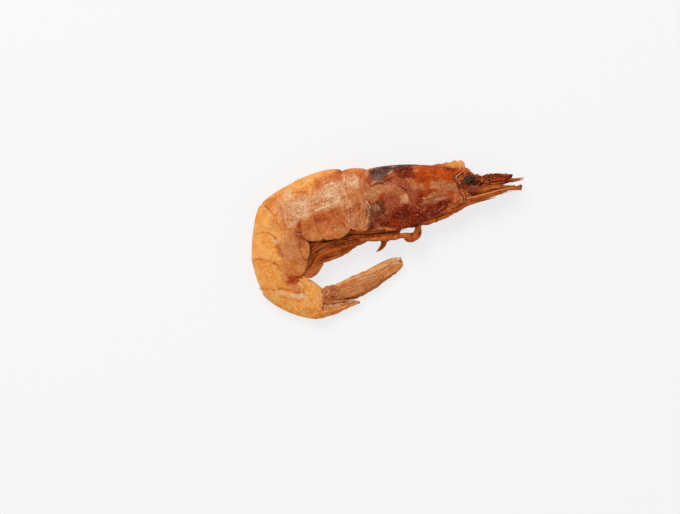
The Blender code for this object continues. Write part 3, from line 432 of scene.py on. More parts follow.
class Plate:
    """One ring of shell between two joints, which reaches in under the plate before it."""

    def __init__(self, front, rear, back, flap, rows, belly=0.88, flap_width=0.8, widest=0.5, roundness=2.3,
                 tuck=0.06, swell=0.0, back_power=0.7, under=0.12, over=0.0, wrinkle=1.0, lining="rust",
                 hem=0.07):
        """Back and flap give how far the back bulges and the flap hangs, and where along the plate most.

        Belly and widest are shares of the depth, under and over how far the plate runs on past its joints
        as shares of its length, tuck and hem how deep its front edge lies and its rear edge rounds off."""
        self.front, self.rear = front, rear
        (self.back_rise, self.back_peak), self.back_power = back, back_power
        (self.flap_drop, self.flap_peak), self.flap_width = flap, flap_width
        self.belly, self.widest, self.roundness = belly, widest, roundness
        self.tuck, self.swell, self.under, self.over = tuck, swell, under, over
        self.wrinkle, self.rows, self.lining, self.hem = wrinkle, rows, lining, hem

    def width_share(self, depth):
        """The flank's half width at a share of the depth, over its widest."""
        reach = np.clip((self.widest - depth) / self.widest, 0, 1)
        upper = (1 - reach**self.roundness) ** (1 / self.roundness)
        lower = 1 - (1 - self.flap_width) * np.clip((depth - self.widest) / (1 - self.widest), 0, 1) ** 2
        return np.where(depth < self.widest, upper, lower)

    def inset(self, along):
        """How far the surface lies inside the plain loft: tucked in front, proud and rounded behind."""
        lip = 0.03 * smooth((along - 0.75) / 0.2)
        edge = self.hem * (1 - np.sqrt(1 - np.clip((along - 0.975) / 0.03, 0, 0.98) ** 2))
        return self.tuck * (1 - smooth(along / 0.3)) - lip + edge + 5.0 * np.maximum(0, -along)

    def line(self, along, depth):
        """The plate's outline in the side view, at its middle height."""
        down = lerp(self.front.down, self.rear.down, along[..., None])
        length = np.linalg.norm(down, axis=-1)
        slid = depth + self.inset(along) * (1 - depth) ** 3 / length
        rise = self.back_rise * hump(along, self.back_peak, self.back_power) * (1 - depth) ** 3
        flap = np.clip((depth - self.belly) / (1 - self.belly), 0, 1)
        drop = self.flap_drop * hump(along, self.flap_peak, 0.6) * flap
        flat = lerp(self.front.point(slid), self.rear.point(slid), along[..., None])
        flat = flat + down / length[..., None] * (drop - rise)[..., None]
        middle = lerp(self.front.mid_height, self.rear.mid_height, along) + self.swell * hump(along)
        return np.concatenate([flat, middle[..., None]], axis=-1)

    def half_width(self, along, depth):
        """How far the plate stands out to each side of its middle height."""
        full = lerp(self.front.half_width, self.rear.half_width, along) + self.swell * hump(along)
        return np.maximum(0.0, (full - self.inset(along)) * self.width_share(depth))


CARAPACE = Plate(CARAPACE_FRONT, JOINTS[0], back=(1.25, 0.58), flap=(2.6, 0.7), belly=0.9, flap_width=0.66,
                 widest=0.52, roundness=2.1, tuck=0.0, swell=0.4, back_power=0.8, under=0.0, over=0.03,
                 wrinkle=0.3, rows=165, lining="wine")
HEAD = Plate(SNOUT, HEAD_REAR, back=(-0.2, 0.4), flap=(0.0, 0.5), belly=0.93, flap_width=0.72, roundness=2.2,
             tuck=0.1, under=0.0, over=0.25, wrinkle=1.6, rows=50, lining="wine")
RINGS = {
    "abdomen_1": Plate(*JOINTS[0:2], back=(0.6, 0.5), flap=(1.2, 0.45), rows=52, tuck=-0.12, under=0.05),
    "abdomen_2": Plate(*JOINTS[1:3], back=(1.16, 0.33), flap=(1.4, 0.4), rows=88, tuck=0.14, hem=0.05),
    "abdomen_3": Plate(*JOINTS[2:4], back=(0.62, 0.62), flap=(0.35, 0.5), rows=76, tuck=0.02, hem=0.045,
                       wrinkle=0.9),
    "abdomen_4": Plate(*JOINTS[3:5], back=(1.05, 0.36), flap=(0.9, 0.5), rows=90, tuck=0.04, hem=0.045,
                       wrinkle=0.5),
    "abdomen_5": Plate(*JOINTS[4:6], back=(0.38, 0.6), flap=(0.9, 0.35), rows=62, tuck=0.02, hem=0.045,
                       wrinkle=0.5),
    "abdomen_6": Plate(*JOINTS[5:7], back=(2.08, 0.43), flap=(0.35, 0.35), rows=100, tuck=0.0, wrinkle=0.4,
                       belly=0.96, flap_width=0.62),
}


FLAP_POINTS, BELLY_POINTS = 12, 20  # points down each flap and across the belly


def plate_skin(name, plate, surface):
    """A plate as a closed skin: down the right flank, round its flap, over the belly and back up."""
    down_length = np.linalg.norm(lerp(plate.front.down, plate.rear.down, 0.5)) + plate.front.half_width * 0.5
    core_count = int(down_length / SHELL_STEP)
    core = plate.belly * np.linspace(0, 1, core_count + 1) ** 1.25
    flap = plate.belly + (1 - plate.belly) * np.linspace(0, 1, FLAP_POINTS + 1)[1:]
    depths = np.concatenate([core, flap])
    belly_at, last = core_count, len(depths) - 1
    folded = depths[belly_at:]
    across = np.linspace(1, -1, BELLY_POINTS + 2)[1:-1]
    depth = np.concatenate([depths, folded[::-1], np.full(len(across), plate.belly), folded, depths[:0:-1]])
    side = np.concatenate([np.ones(last + 1), np.ones(len(folded)), across, -np.ones(len(folded)), -np.ones(last)])
    inner = np.concatenate([np.zeros(last + 1), np.ones(2 * len(folded) + len(across)), np.zeros(last)])
    along = np.linspace(-plate.under, 1 + plate.over, plate.rows)[:, None] + np.zeros_like(depth)
    depth = depth + np.zeros_like(along)
    grid = plate.line(along, depth)
    wall = lerp(0.55, 0.2, smooth((depth - plate.belly) / (1 - plate.belly)))
    half = plate.half_width(along, depth)
    grid[..., 2] += side * np.where(inner > 0, np.maximum(half - wall, 0.1), half)
    belly_bars = inner * (np.abs(side) < 1) * np.cos(np.clip(along, 0, 1) * 2 * np.pi * max(1, plate.rows // 30))
    places = grid.reshape(-1, 3)
    shares = colour_shares(places)
    outer = 1 - np.broadcast_to(inner, along.shape).reshape(-1)
    edge = smooth((along.reshape(-1) - 0.9) / 0.1) * 0.5
    height = add_creases(places, shares) * outer * (1 - 0.6 * edge)
    height += relief(plate, places, depth.reshape(-1), shares) * outer
    height += 0.12 * belly_bars.reshape(-1)
    for channel in CHANNELS:
        shares[channel] = shares[channel] * outer
    # Painted shade a little deeper towards the rear edge of the plate.
    shares["fold"] = shares["fold"] - 0.05 * edge
    shares[plate.lining] = np.maximum(shares[plate.lining], 0.8 * (1 - outer))
    ends = np.minimum(along.reshape(-1) + plate.under, 1 + plate.over - along.reshape(-1))
    points = places + tube_normals(grid) * (height * smooth(ends / 0.04))[:, None]
    skin = Skin("shell_" + name)
    size = grid.shape[1]
    faces = tube_faces(plate.rows, size, closed=False)
    for first, flip in ((0, True), ((plate.rows - 1) * size, False)):
        faces += end_faces(first, size, belly_at, last, len(folded), len(across), flip)
    skin.add(points, faces, shares)
    skin.finish(surface, [name])


def end_faces(first, size, belly_at, last, folded, across, flip):
    """Closes the end of a plate: a ladder over its core, one face under it, and a ladder in each flap."""
    right = [first + j for j in range(last + 1)]
    left = [first] + [first + size - j for j in range(1, last + 1)]
    right_inner = [first + last + folded - j for j in range(folded)]
    left_inner = [first + last + folded + across + 1 + j for j in range(folded)]
    floor = [first + last + folded + 1 + j for j in range(across)]
    faces = [(right[0], right[1], left[1])]
    faces += [(right[j], right[j + 1], left[j + 1], left[j]) for j in range(1, belly_at)]
    faces.append((right[belly_at], right_inner[0], *floor, left_inner[0], left[belly_at]))
    for j in range(folded - 1):
        faces.append((right[belly_at + j], right[belly_at + j + 1], right_inner[j + 1], right_inner[j]))
        faces.append((left[belly_at + j], left_inner[j], left_inner[j + 1], left[belly_at + j + 1]))
    return [face if flip else face[::-1] for face in faces]


def relief(plate, places, depth, shares):
    """How the dried skin shrank: broad dents, crumples where it is chalky, and fine wrinkles."""
    broad = clouds(places, 5.5, 1, 2)
    crumple = ridges(places * (1.0, 0.6, 1.0), 1.7, 2, 4)
    fine = ridges(places, 0.75, 3, 3)
    pits = clouds(places, 0.5, 4, 2)
    # Each branch adds to the fold share, which paints shade in the hollows and highlight on the crests.
    if plate is HEAD:
        shares["umber"][:] = 0.9
        shares["wine"] = np.maximum(shares["wine"], 0.7 * clouds(places, 1.5, 8))
        shares["fold"] += crumple - 0.4
        return 0.3 * crumple + 0.15 * fine - 0.2
    flank = smooth((depth - 0.06) / 0.2)
    if plate is CARAPACE:
        lines = ridges(places * (0.45, 1.0, 1.0), 1.9, 6, 4)
        shares["fold"] += 0.5 * (lines - 0.45) * flank + 0.25 * (fine - 0.4) + 0.2 * pits
        return (0.26 * broad + 0.15 * lines - 0.07) * flank + 0.06 * fine + 0.03 * pits
    chalky = np.maximum(shares["chalk"], 0.3)
    crest = smooth(crumple * 1.4 - 0.4)
    lift = plate.wrinkle * chalky
    # Paler chalk on the crests of the crumples: partly the dried film, partly painted highlight.
    shares["chalk"] = 1 - (1 - shares["chalk"]) * (1 - 0.5 * crest * lift)
    # Darker rust in the hollows of the crumples: painted shade.
    shares["rust"] = np.maximum(shares["rust"], 0.5 * plate.wrinkle * smooth(0.4 - crumple) * (1 - shares["amber"]))
    rough = plate.wrinkle * (0.35 + 0.65 * (1 - shares["amber"])) * flank
    shares["fold"] += 0.45 * (crumple - 0.4) * rough + 0.45 * (fine - 0.4) * rough + (0.06 + 0.11 * rough) * pits
    shares["fold"] *= 1 - 0.5 * shares["amber"]
    dents = plate.wrinkle * 0.14 * broad * flank + 0.2 * crumple * (0.35 + chalky) * rough
    return dents + 0.05 * fine + 0.05 * pits * rough


# Swept pieces: limbs, feelers, blades and hairs

HAIR_RADIUS = 0.035


def smooth_route(points, count):
    """Points spread along a smooth curve through the given ones."""
    given = np.array(points, float)
    given = np.concatenate([[2 * given[0] - given[1]], given, [2 * given[-1] - given[-2]]])
    spans = len(points) - 1
    place = np.linspace(0, spans, count)
    span = np.minimum(place.astype(int), spans - 1)
    t = (place - span)[:, None]
    a, b, c, d = given[span], given[span + 1], given[span + 2], given[span + 3]
    return 0.5 * (2 * b + (c - a) * t + (2 * a - 5 * b + 4 * c - d) * t**2 + (3 * b - a - 3 * c + d) * t**3)


def eased(values, share):
    """A value read at a share of an evenly spaced list, with soft bends between its entries."""
    place = np.asarray(share) * (len(values) - 1)
    low = np.minimum(place.astype(int), len(values) - 2)
    values = np.array(values, float)
    return lerp(values[low], values[low + 1], smooth(place - low))


def sweep(skin, route, breadth, depth, seed, *, crumple, streaks, count=None, sides=28, shape=2.0, joints=(),
          furrows=0.0, furrow_count=3, ragged=0.0, bow=0.0):
    """A tapering limb or blade along a route.

    Breadths are half widths in the side view and depths across it. A shape over 2 is boxier. Joints are
    shares of the length where the limb pinches between two swellings. Furrows are grooves down its length,
    a ragged end is torn back by that much, and a bow cups the blade. Streaks give each channel its share
    and how it wavers."""
    length = np.linalg.norm(np.diff(np.array(route, float), axis=0), axis=1).sum()
    count = count or max(10, int(length / (LIMB_STEP if sides > 12 else HAIR_STEP)))
    centre = smooth_route(route, count)
    ahead = unit(np.gradient(centre, axis=0))
    across = unit(np.cross(UP, ahead))
    over = np.cross(ahead, across)
    share = np.linspace(0, 1, count)
    turn = np.linspace(0, 2 * np.pi, sides, endpoint=False)
    cos, sin = np.cos(turn), np.sin(turn)
    x = np.sign(cos) * np.abs(cos) ** (2 / shape)
    z = np.sign(sin) * np.abs(sin) ** (2 / shape)
    wide, deep = eased(breadth, share), eased(depth, share)
    for joint in joints:
        near = (share - joint) * length
        swell = 0.12 * np.exp(-((np.abs(near) - 0.45) / 0.3) ** 2) - 0.1 * np.exp(-(near / 0.15) ** 2)
        wide, deep = wide * (1 + swell), deep * (1 + swell)
    end = np.sqrt(np.clip(1 - np.clip((share - 1) * length / 0.25 + 1, 0, 1) ** 2, 0.0016, 1))
    start = np.sqrt(np.clip(1 - np.clip(1 - share * length / 0.2, 0, 1) ** 2, 0.01, 1))
    wide, deep = wide * end * start, deep * end * start
    grid = (centre[:, None] + across[:, None] * (x * wide[:, None])[..., None]
            + over[:, None] * (z * deep[:, None])[..., None])
    grid[..., 2] -= bow * (x**2)[None, :] * np.minimum(wide, 1.5)[:, None]
    if ragged:
        tear = clouds(np.stack([x * 2.6 + seed, z * 0.8, x * 0 + seed], axis=1), 1.0, seed, 3)
        grid -= ahead[:, None] * ((smooth((share - 0.8) / 0.2) ** 2)[:, None] * ragged * (tear + 0.6))[..., None]
    places = grid.reshape(-1, 3)
    lengthwise = np.stack([np.tile(x * 2.2, count) + seed * 3.1, np.tile(z * 2.2, count),
                           np.repeat(share * length * 0.35, sides)], axis=1)
    strand = clouds(lengthwise, 1.0, seed, 3)
    height = crumple * (clouds(places, 0.8, seed + 3, 3) + strand)
    if furrows:
        groove = np.cos(np.tile(x, count) * np.pi * furrow_count)
        height += furrows * np.repeat(np.minimum(1, wide), sides) * groove * (np.abs(np.tile(z, count)) > 0.3)
    fade = np.repeat(np.minimum(1, np.minimum(wide, deep) / 0.25), sides)
    places = places + tube_normals(grid) * (height * fade)[:, None]
    # The fold share paints shade in the crumples' hollows and highlight on their crests.
    shares = {"fold": np.clip(height * 3.2, -0.6, 0.6) + 0.3 * clouds(places, 0.5, seed + 7, 2)}
    for channel, (level, waver) in streaks.items():
        shares[channel] = np.clip(level + waver * (0.7 * strand + 0.3 * clouds(places, 0.9, seed + 5, 2)), 0, 1)
    # Painted shade in the pinch of each joint.
    for joint in joints:
        near = np.exp(-((np.repeat(share, sides) - joint) * length / 0.3) ** 2)
        shares["fold"] = shares["fold"] - 0.4 * near
    skin.add(places, tube_faces(count, sides), shares)


def bristles(skin, route, lean, length, number, seed, streaks):
    """A fringe of stiff hairs along a route, each a thin tapered blade that leans along it."""
    draw = np.random.default_rng(seed)
    thick = [HAIR_RADIUS, HAIR_RADIUS * 0.8, HAIR_RADIUS * 0.3]
    for i, root in enumerate(smooth_route(route, number)):
        way = unit(np.array(lean, float) + draw.normal(0, 0.14, 3) * (1, 1, 0.6))
        reach = length * (0.75 + 0.35 * draw.random())
        bend = np.array((0, 0, draw.normal(0, 0.06)))
        sweep(skin, [root, root + way * reach * 0.5 + bend, root + way * reach], thick, thick, seed + i, count=5,
              sides=5, crumple=0.0, streaks=streaks)


def strands(skin, route, number, seed, tone, spread, thick, slide):
    """Loose fibres that run with a route, each a little off it and along it, of the least to most thickness."""
    draw = np.random.default_rng(seed)
    ahead = unit(np.subtract(route[-1], route[0]))
    aside = unit(np.cross(UP, ahead))
    for _ in range(number):
        shift = ahead * draw.uniform(-slide, slide) + aside * draw.normal(0, spread[0])
        shift = shift + UP * draw.uniform(-1, 1) * spread[1]
        places = [np.array(point) + shift + aside * draw.normal(0, 0.12) + UP * draw.normal(0, 0.1) for point in route]
        wide = draw.uniform(*thick)
        sweep(skin, places, [wide * 0.7, wide, wide * 0.9, 0.04], [wide * 0.6, wide * 0.8, wide * 0.7, 0.04],
              int(draw.integers(900)), sides=8, crumple=0.04, streaks=tone)


def side_name(side):
    """The side's name in the names of pieces and solids: 1 is right, and -1 left."""
    return "right" if side > 0 else "left"


def belly_root(plate, along, side, offset):
    """A point just under the belly, where a limb grows, and the way down from it."""
    def at(depth):
        return plate.line(np.array([float(along)]), np.array([float(depth)]))[0]
    down = unit(at(plate.belly) - at(0.4))
    down[2] = 0
    return at(plate.belly) - down * 0.25 + UP * side * offset, down


# The head: horn, eyes, feelers and mouth limbs

DARK_FLESH = {"wine": (1.0, 0.5), "umber": (0.2, 0.4), "rust": (0.1, 0.4)}
BROWN_FLESH = {"umber": (0.35, 0.6), "rust": (0.4, 0.6), "plum": (0.35, 0.6), "tan": (0.2, 0.5)}
ORANGE_FLESH = {"rust": (0.65, 0.6), "amber": (0.15, 0.5), "tan": (0.25, 0.5), "wine": (0.1, 0.5)}
PALE_FLESH = {"tan": (0.7, 0.5), "amber": (0.3, 0.4), "chalk": (0.15, 0.4)}
STALK = {"wine": (0.95, 0.6), "rust": (0.3, 0.7), "char": (0.05, 0.35), "umber": (0.2, 0.4)}
BROWN_BLADE = {"rust": (0.35, 0.6), "tan": (0.2, 0.5), "umber": (0.25, 0.5), "wine": (0.3, 0.6)}


def make_rostrum(shell):
    """The stub of the horn: a thin keel with worn teeth, snapped off in front."""
    skin = Skin("horn_stub")
    count, half = 72, 14
    along = np.linspace(0.36, -0.03, count)
    foot = CARAPACE.line(along, np.zeros(count))
    share = np.linspace(0, 1, count)
    worn = 0.2 * np.maximum(0, np.sin(share * 9.5 * np.pi)) ** 2 * smooth((share - 0.15) / 0.2)
    worn = worn + 0.16 * clouds(foot, 0.6, 30, 3) * share
    height = lerp(-0.1, 2.05, share**0.95) + 0.28 * smooth((share - 0.4) / 0.25) + worn
    height = height - 0.55 * smooth((share - 0.84) / 0.16)
    profile = np.linspace(0, 1, half)
    rows = []
    for i in range(count):
        thick = lerp(0.95, 0.34, smooth(profile * 1.3)) * lerp(0.6, 1.0, share[i])
        thick = np.minimum(thick, 0.34 * np.sqrt(np.maximum(0.02, 1 - profile**4)) + thick * (1 - profile))
        rise = foot[i, 1] - 0.6 + (height[i] + 0.6) * profile
        torn = share[i] ** 8 * (0.35 * (1 - profile) - 0.3 * np.sin(profile * 9.0 + 0.6) ** 2)
        right, left = (np.stack([foot[i, 0] + torn, rise, foot[i, 2] + half_wide], axis=1)
                       for half_wide in (thick, -thick))
        rows.append(np.concatenate([right, left[::-1]]))
    grid = np.array(rows)
    places = grid.reshape(-1, 3)
    bumps = ridges(places, 0.9, 33)
    places = places + tube_normals(grid) * (0.08 * clouds(places, 0.8, 31) + 0.06 * bumps)[:, None]
    high = np.tile(np.concatenate([profile, profile[::-1]]), count)
    ahead = np.repeat(share, half * 2)
    # The fold share paints shade between the bumps and highlight on them.
    skin.add(places, tube_faces(count, half * 2), {
        "amber": 0.95 * smooth(high * 2.2 - 0.3) * smooth(ahead * 2 - 0.5),
        "chalk": (0.1 + 0.6 * bumps) * ahead,
        "tan": 0.6 * smooth(1.3 - 1.2 * ahead) * high,
        "rust": 0.8 * (1 - high),
        "plum": 0.6 * smooth(0.7 - high - 0.6 * ahead),
        "fold": 0.5 * (bumps - 0.4)})
    skin.finish(shell, ["rostrum"])


def eye_centre(side):
    """The middle of an eye, on the flank of the head front."""
    return np.array((20.75, 15.0, HEAD_REAR.mid_height + side * 1.95))


def make_eye(side, eye_skin):
    """The shrunken eye: a ball that dried to a crumpled berry, darkest in its folds."""
    skin = Skin("eyeball_" + side_name(side))
    rows, columns = 80, 120
    polar = np.linspace(0.02, np.pi - 0.02, rows)[:, None]
    turn = np.linspace(0, 2 * np.pi, columns, endpoint=False)[None, :]
    axis = unit(np.array((0.35, 0.15, side * 0.92)))
    first = unit(np.cross(axis, UP + 0.3))
    second = np.cross(axis, first)
    way = (np.cos(polar)[..., None] * axis + (np.sin(polar) * np.cos(turn))[..., None] * first
           + (np.sin(polar) * np.sin(turn))[..., None] * second)
    flat = way.reshape(-1, 3)
    folds = ridges(flat * 1.3, 0.8, 41, 3)
    grains = clouds(flat * 1.3, 0.42, 42, 2)
    radius = 1.08 + 0.22 * folds - 0.12 + 0.14 * grains + 0.2 * clouds(flat * 1.3, 1.2, 43, 2)
    places = flat * radius[:, None] * (1.34, 1.02, 1.0)
    places = eye_centre(side) + places - (0.2, 0.05, 0)
    rear = smooth(0.35 - flat[:, 0] * 0.8)
    # The fold share paints shade in the eye's folds and highlight on their crests.
    skin.add(places, tube_faces(rows, columns), {
        "plum": np.clip(smooth(folds * 1.6 - 0.5) * (0.2 + 0.8 * rear) + 0.35 * smooth(grains * 1.4), 0, 1),
        "chalk": 0.5 * smooth(folds * 3 - 2.0) * rear,
        "fold": 0.8 * (folds - 0.4) + 0.4 * grains})
    draw = np.random.default_rng(44)
    for i in range(26):
        spot = eye_centre(side) + (draw.uniform(-1.75, 1.2), draw.uniform(-1.0, 0.95), side * draw.uniform(0.3, 0.75))
        grain = draw.uniform(0.14, 0.3)
        sweep(skin, [spot - (grain, 0, side * 0.3), spot, spot + (grain, draw.uniform(-0.2, 0.2), side * 0.05)],
              [grain, grain, 0.06], [grain, grain, 0.06], 400 + i, sides=12, crumple=0.08,
              streaks={"plum": (draw.uniform(0.0, 1.3), 0.6), "chalk": (draw.uniform(-0.3, 0.5), 0.5)})
    skin.finish(eye_skin, ["eye_" + side_name(side)])


def on_head(along, depth, side, lift):
    """A point on the flank of the head front, stood off by a lift."""
    along, depth = np.array([along]), np.array([depth])
    point = HEAD.line(along, depth)[0]
    point[2] += side * (HEAD.half_width(along, depth)[0] + lift)
    return point


def make_head_front(shell):
    """The block between the eyes and mouth, under shreds of dried flesh, and the bump that carried the horn."""
    plate_skin("head", HEAD, shell)
    mid = HEAD_REAR.mid_height
    skin = Skin("brow")
    for route, wide, seed in ((((18.7, 16.8), (19.7, 17.1), (20.5, 16.45), (21.2, 15.3)), (0.7, 0.85, 0.75, 0.45), 51),
                              (((18.6, 15.6), (19.5, 16.5), (20.6, 16.0), (21.7, 14.9)), (0.7, 0.8, 0.8, 0.4), 52),
                              (((20.6, 14.4), (21.8, 14.5), (23.0, 14.7), (24.4, 14.9)), (0.8, 0.85, 0.75, 0.3), 53)):
        sweep(skin, [(x, y, mid) for x, y in route], wide, [1.25, 1.35, 1.2, 0.5], seed, sides=48, crumple=0.17,
              streaks=ORANGE_FLESH if seed == 51 else BROWN_FLESH)
    draw = np.random.default_rng(21)
    bands = ((0.0, 0.2, ORANGE_FLESH, 12), (0.12, 0.4, BROWN_FLESH, 34), (0.35, 0.6, DARK_FLESH, 26),
             (0.3, 0.75, PALE_FLESH, 10), (0.55, 0.8, BROWN_FLESH, 20), (0.7, 1.0, ORANGE_FLESH, 30),
             (0.55, 1.0, PALE_FLESH, 12))
    for side in (1, -1):
        for shallow, deep, tone, number in bands:
            for _ in range(number):
                along, depth = draw.uniform(0.35, 1.2), draw.uniform(shallow, deep)
                reach, drift = draw.uniform(0.15, 0.42), draw.normal(0, 0.05)
                lift = draw.uniform(-0.1, 0.22)
                route = [on_head(along, depth, side, lift - 0.12),
                         on_head(along - reach * 0.5, depth + drift, side, lift),
                         on_head(along - reach, depth + drift * 2.2, side, lift - 0.1)]
                wide = draw.uniform(0.1, 0.3)
                sweep(skin, route, [wide * 0.8, wide, wide * 0.8, 0.05], [wide * 0.6, wide * 0.7, wide * 0.6, 0.05],
                      int(draw.integers(900)), sides=10, crumple=0.08, streaks=tone)
        for x, y, lean in ((16.9, 11.0, -0.4), (17.6, 10.4, -0.6), (19.3, 10.5, 0.5)):
            sweep(skin, [(x + lean * 0.3, y + 0.8, mid + side * 2.4), (x, y, mid + side * 2.8),
                         (x - lean * 0.4, y - 0.9, mid + side * 2.5)], [0.1, 0.2, 0.16, 0.05], [0.2, 0.24, 0.2, 0.06],
                  int(x * 10), crumple=0.08, streaks=PALE_FLESH if lean < 0 else ORANGE_FLESH)
        for i, turn in enumerate(np.linspace(1.2, 5.6, 8)):
            spot = eye_centre(side) + (math.cos(turn) * draw.uniform(1.3, 2.0) - 0.15,
                                       math.sin(turn) * draw.uniform(1.1, 1.6), -side * 0.2)
            sweep(skin, [spot - (0.6, 0.1, side * 0.6), spot, spot + (0.6, 0.06, side * 0.1)], [0.22, 0.34, 0.12],
                  [0.4, 0.34, 0.12], 60 + i, crumple=0.16, streaks=(BROWN_FLESH, DARK_FLESH)[i % 2])
        sweep(skin, [(20.1, 12.45, mid + side * 2.3), (21.9, 12.7, mid + side * 2.5), (24.1, 13.05, mid + side * 1.9)],
              [0.7, 1.1, 1.0, 0.3], [0.6, 0.55, 0.2], 75, sides=40, crumple=0.14,
              streaks={"wine": (1.0, 0.2), "char": (0.25, 0.6)})
        sweep(skin, [(19.05, 17.5, mid + side * 1.7), (17.9, 16.35, mid + side * 2.45), (17.1, 15.5, mid + side * 2.75),
                     (17.65, 14.7, mid + side * 2.9)], [0.16, 0.2, 0.2, 0.06], [0.3, 0.34, 0.3, 0.06], 76, sides=16,
              crumple=0.05, streaks={"tan": (0.8, 0.5), "chalk": (0.25, 0.5)})
        for i in range(26):
            x, y = draw.uniform(15.9, 19.4), draw.uniform(9.3, 12.2)
            z, reach, lean = mid + side * draw.uniform(2.55, 2.9), draw.uniform(0.3, 0.7), draw.normal(0.0, 0.35)
            sweep(skin, [(x - lean, y - reach, z - side * 0.3), (x, y, z), (x + lean, y + reach, z - side * 0.3)],
                  [0.1, 0.26, 0.08], [0.12, 0.22, 0.08], 500 + i, sides=12, crumple=0.08,
                  streaks=(ORANGE_FLESH, PALE_FLESH, ORANGE_FLESH, BROWN_FLESH)[i % 4])
        for i in range(24):
            x, y = draw.uniform(22.4, 25.0), draw.uniform(12.9, 15.2)
            z, reach, lean = mid + side * draw.uniform(1.5, 1.9), draw.uniform(0.3, 0.6), draw.normal(0.0, 0.2)
            sweep(skin, [(x - reach, y - lean, z - side * 0.3), (x, y, z), (x + reach, y + lean, z - side * 0.3)],
                  [0.1, 0.24, 0.08], [0.12, 0.22, 0.08], 540 + i, sides=12, crumple=0.08,
                  streaks=(ORANGE_FLESH, BROWN_FLESH, PALE_FLESH, DARK_FLESH)[i % 4])
    skin.finish(shell, [])


def make_mouthparts(flesh):
    """The mat of small mouth limbs under the head, dried along the carapace's lower edge."""
    skin = Skin("mouth_mat")
    mid = HEAD_REAR.mid_height
    bed = [(4.2, 3.45), (6.6, 3.6), (9.4, 4.75), (13.0, 6.45), (17.0, 8.4), (20.6, 9.95), (24.0, 11.15), (26.8, 11.7)]
    sweep(skin, [(x, y, mid - 0.2) for x, y in bed], [0.3, 0.5, 0.6, 0.75, 0.95, 1.0, 0.8, 0.3],
          [0.6, 0.8, 1.0, 1.3, 1.5, 1.5, 1.1, 0.4], 310, sides=48, crumple=0.14, furrows=0.14, furrow_count=4,
          streaks=DARK_FLESH)
    for side in (1, -1):
        for offset, rise, tone, number in ((0.2, 2.1, DARK_FLESH, 16), (0.1, 2.3, BROWN_FLESH, 14),
                                           (0.25, 2.5, PALE_FLESH, 5)):
            route = [(x, y + offset, mid + side * rise) for x, y in bed[2:6]]
            strands(skin, route, number, 351 + number, tone, (0.28, 0.3), (0.08, 0.2), 1.6)
        for offset, tone, number in ((-0.55, BROWN_FLESH, 10), (-0.1, BROWN_FLESH, 12), (0.3, DARK_FLESH, 14),
                                     (-0.3, PALE_FLESH, 4)):
            route = [(x, y + offset, mid + side * 1.3) for x, y in bed[2:7]]
            strands(skin, route, number, 311 + number, tone, (0.3, 0.5), (0.1, 0.24), 1.4)
            route = [(x, y + offset * 0.8, mid + side * 1.1) for x, y in bed[4:]]
            strands(skin, route, number // 2, 331 + number, tone, (0.25, 0.4), (0.08, 0.2), 0.6)
    skin.finish(flesh, [])


def make_antennule(side, flesh):
    """A three-jointed stalk, hollowed along its back, that ends in two short, snapped feelers."""
    skin = Skin("feeler_stalk_" + side_name(side))
    z = SNOUT.mid_height + side * 0.88
    slip = 0.0 if side > 0 else -0.35
    sweep(skin, [(23.0, 14.3, z), (24.4, 14.6, z), (25.8, 14.95, z), (28.2, 15.3 + slip, z), (31.0, 15.55 + slip, z)],
          [1.0, 1.3, 1.5, 1.5, 1.45, 1.25, 0.95, 0.5], [0.55, 0.66, 0.68, 0.6, 0.66, 0.52, 0.56, 0.4], 81,
          joints=(0.48, 0.74), crumple=0.1, ragged=0.5, furrows=0.07, furrow_count=2, streaks=STALK)
    strands(skin, [(24.4, 14.9 + slip * 0.5, z + side * 0.5), (26.5, 15.1 + slip * 0.5, z + side * 0.62),
                   (29.0, 15.3 + slip, z + side * 0.55)], 16, 82, STALK, (0.55, 0.12), (0.1, 0.2), 0.9)
    strands(skin, [(24.4, 14.4 + slip * 0.5, z + side * 0.5), (26.5, 14.6 + slip * 0.5, z + side * 0.6),
                   (29.5, 15.0 + slip, z + side * 0.5)], 9, 83, BROWN_FLESH, (0.4, 0.12), (0.08, 0.16), 1.2)
    for i, x in enumerate((25.9, 26.9, 27.9, 28.8, 29.7)):
        sweep(skin, [(x - 0.6, 15.85 + slip, z), (x, 16.25 + slip, z + side * 0.1), (x + 0.9, 16.3 + slip, z)],
              [0.25, 0.34, 0.1], [0.3, 0.34, 0.1], 85 + i, crumple=0.08,
              streaks={"char": (0.4, 0.5), "plum": (0.7, 0.4), "chalk": (0.1, 0.3)})
    sweep(skin, [(29.4, 15.75 + slip, z), (30.6, 15.95 + slip, z), (31.45, 16.3 + slip, z)], [0.45, 0.4, 0.2],
          [0.4, 0.3, 0.1], 92, crumple=0.06, streaks=STALK)
    sweep(skin, [(29.8, 15.1 + slip, z), (31.6, 15.1 + slip, z), (34.25, 15.55 + slip, z + side * 0.1)],
          [0.34, 0.3, 0.19, 0.07], [0.34, 0.26, 0.18, 0.06], 93, joints=(0.4, 0.55, 0.7, 0.85), crumple=0.05,
          streaks={"rust": (0.4, 0.5), "tan": (0.5, 0.5), "umber": (0.2, 0.5)})
    skin.finish(flesh, ["antennule_" + side_name(side)])


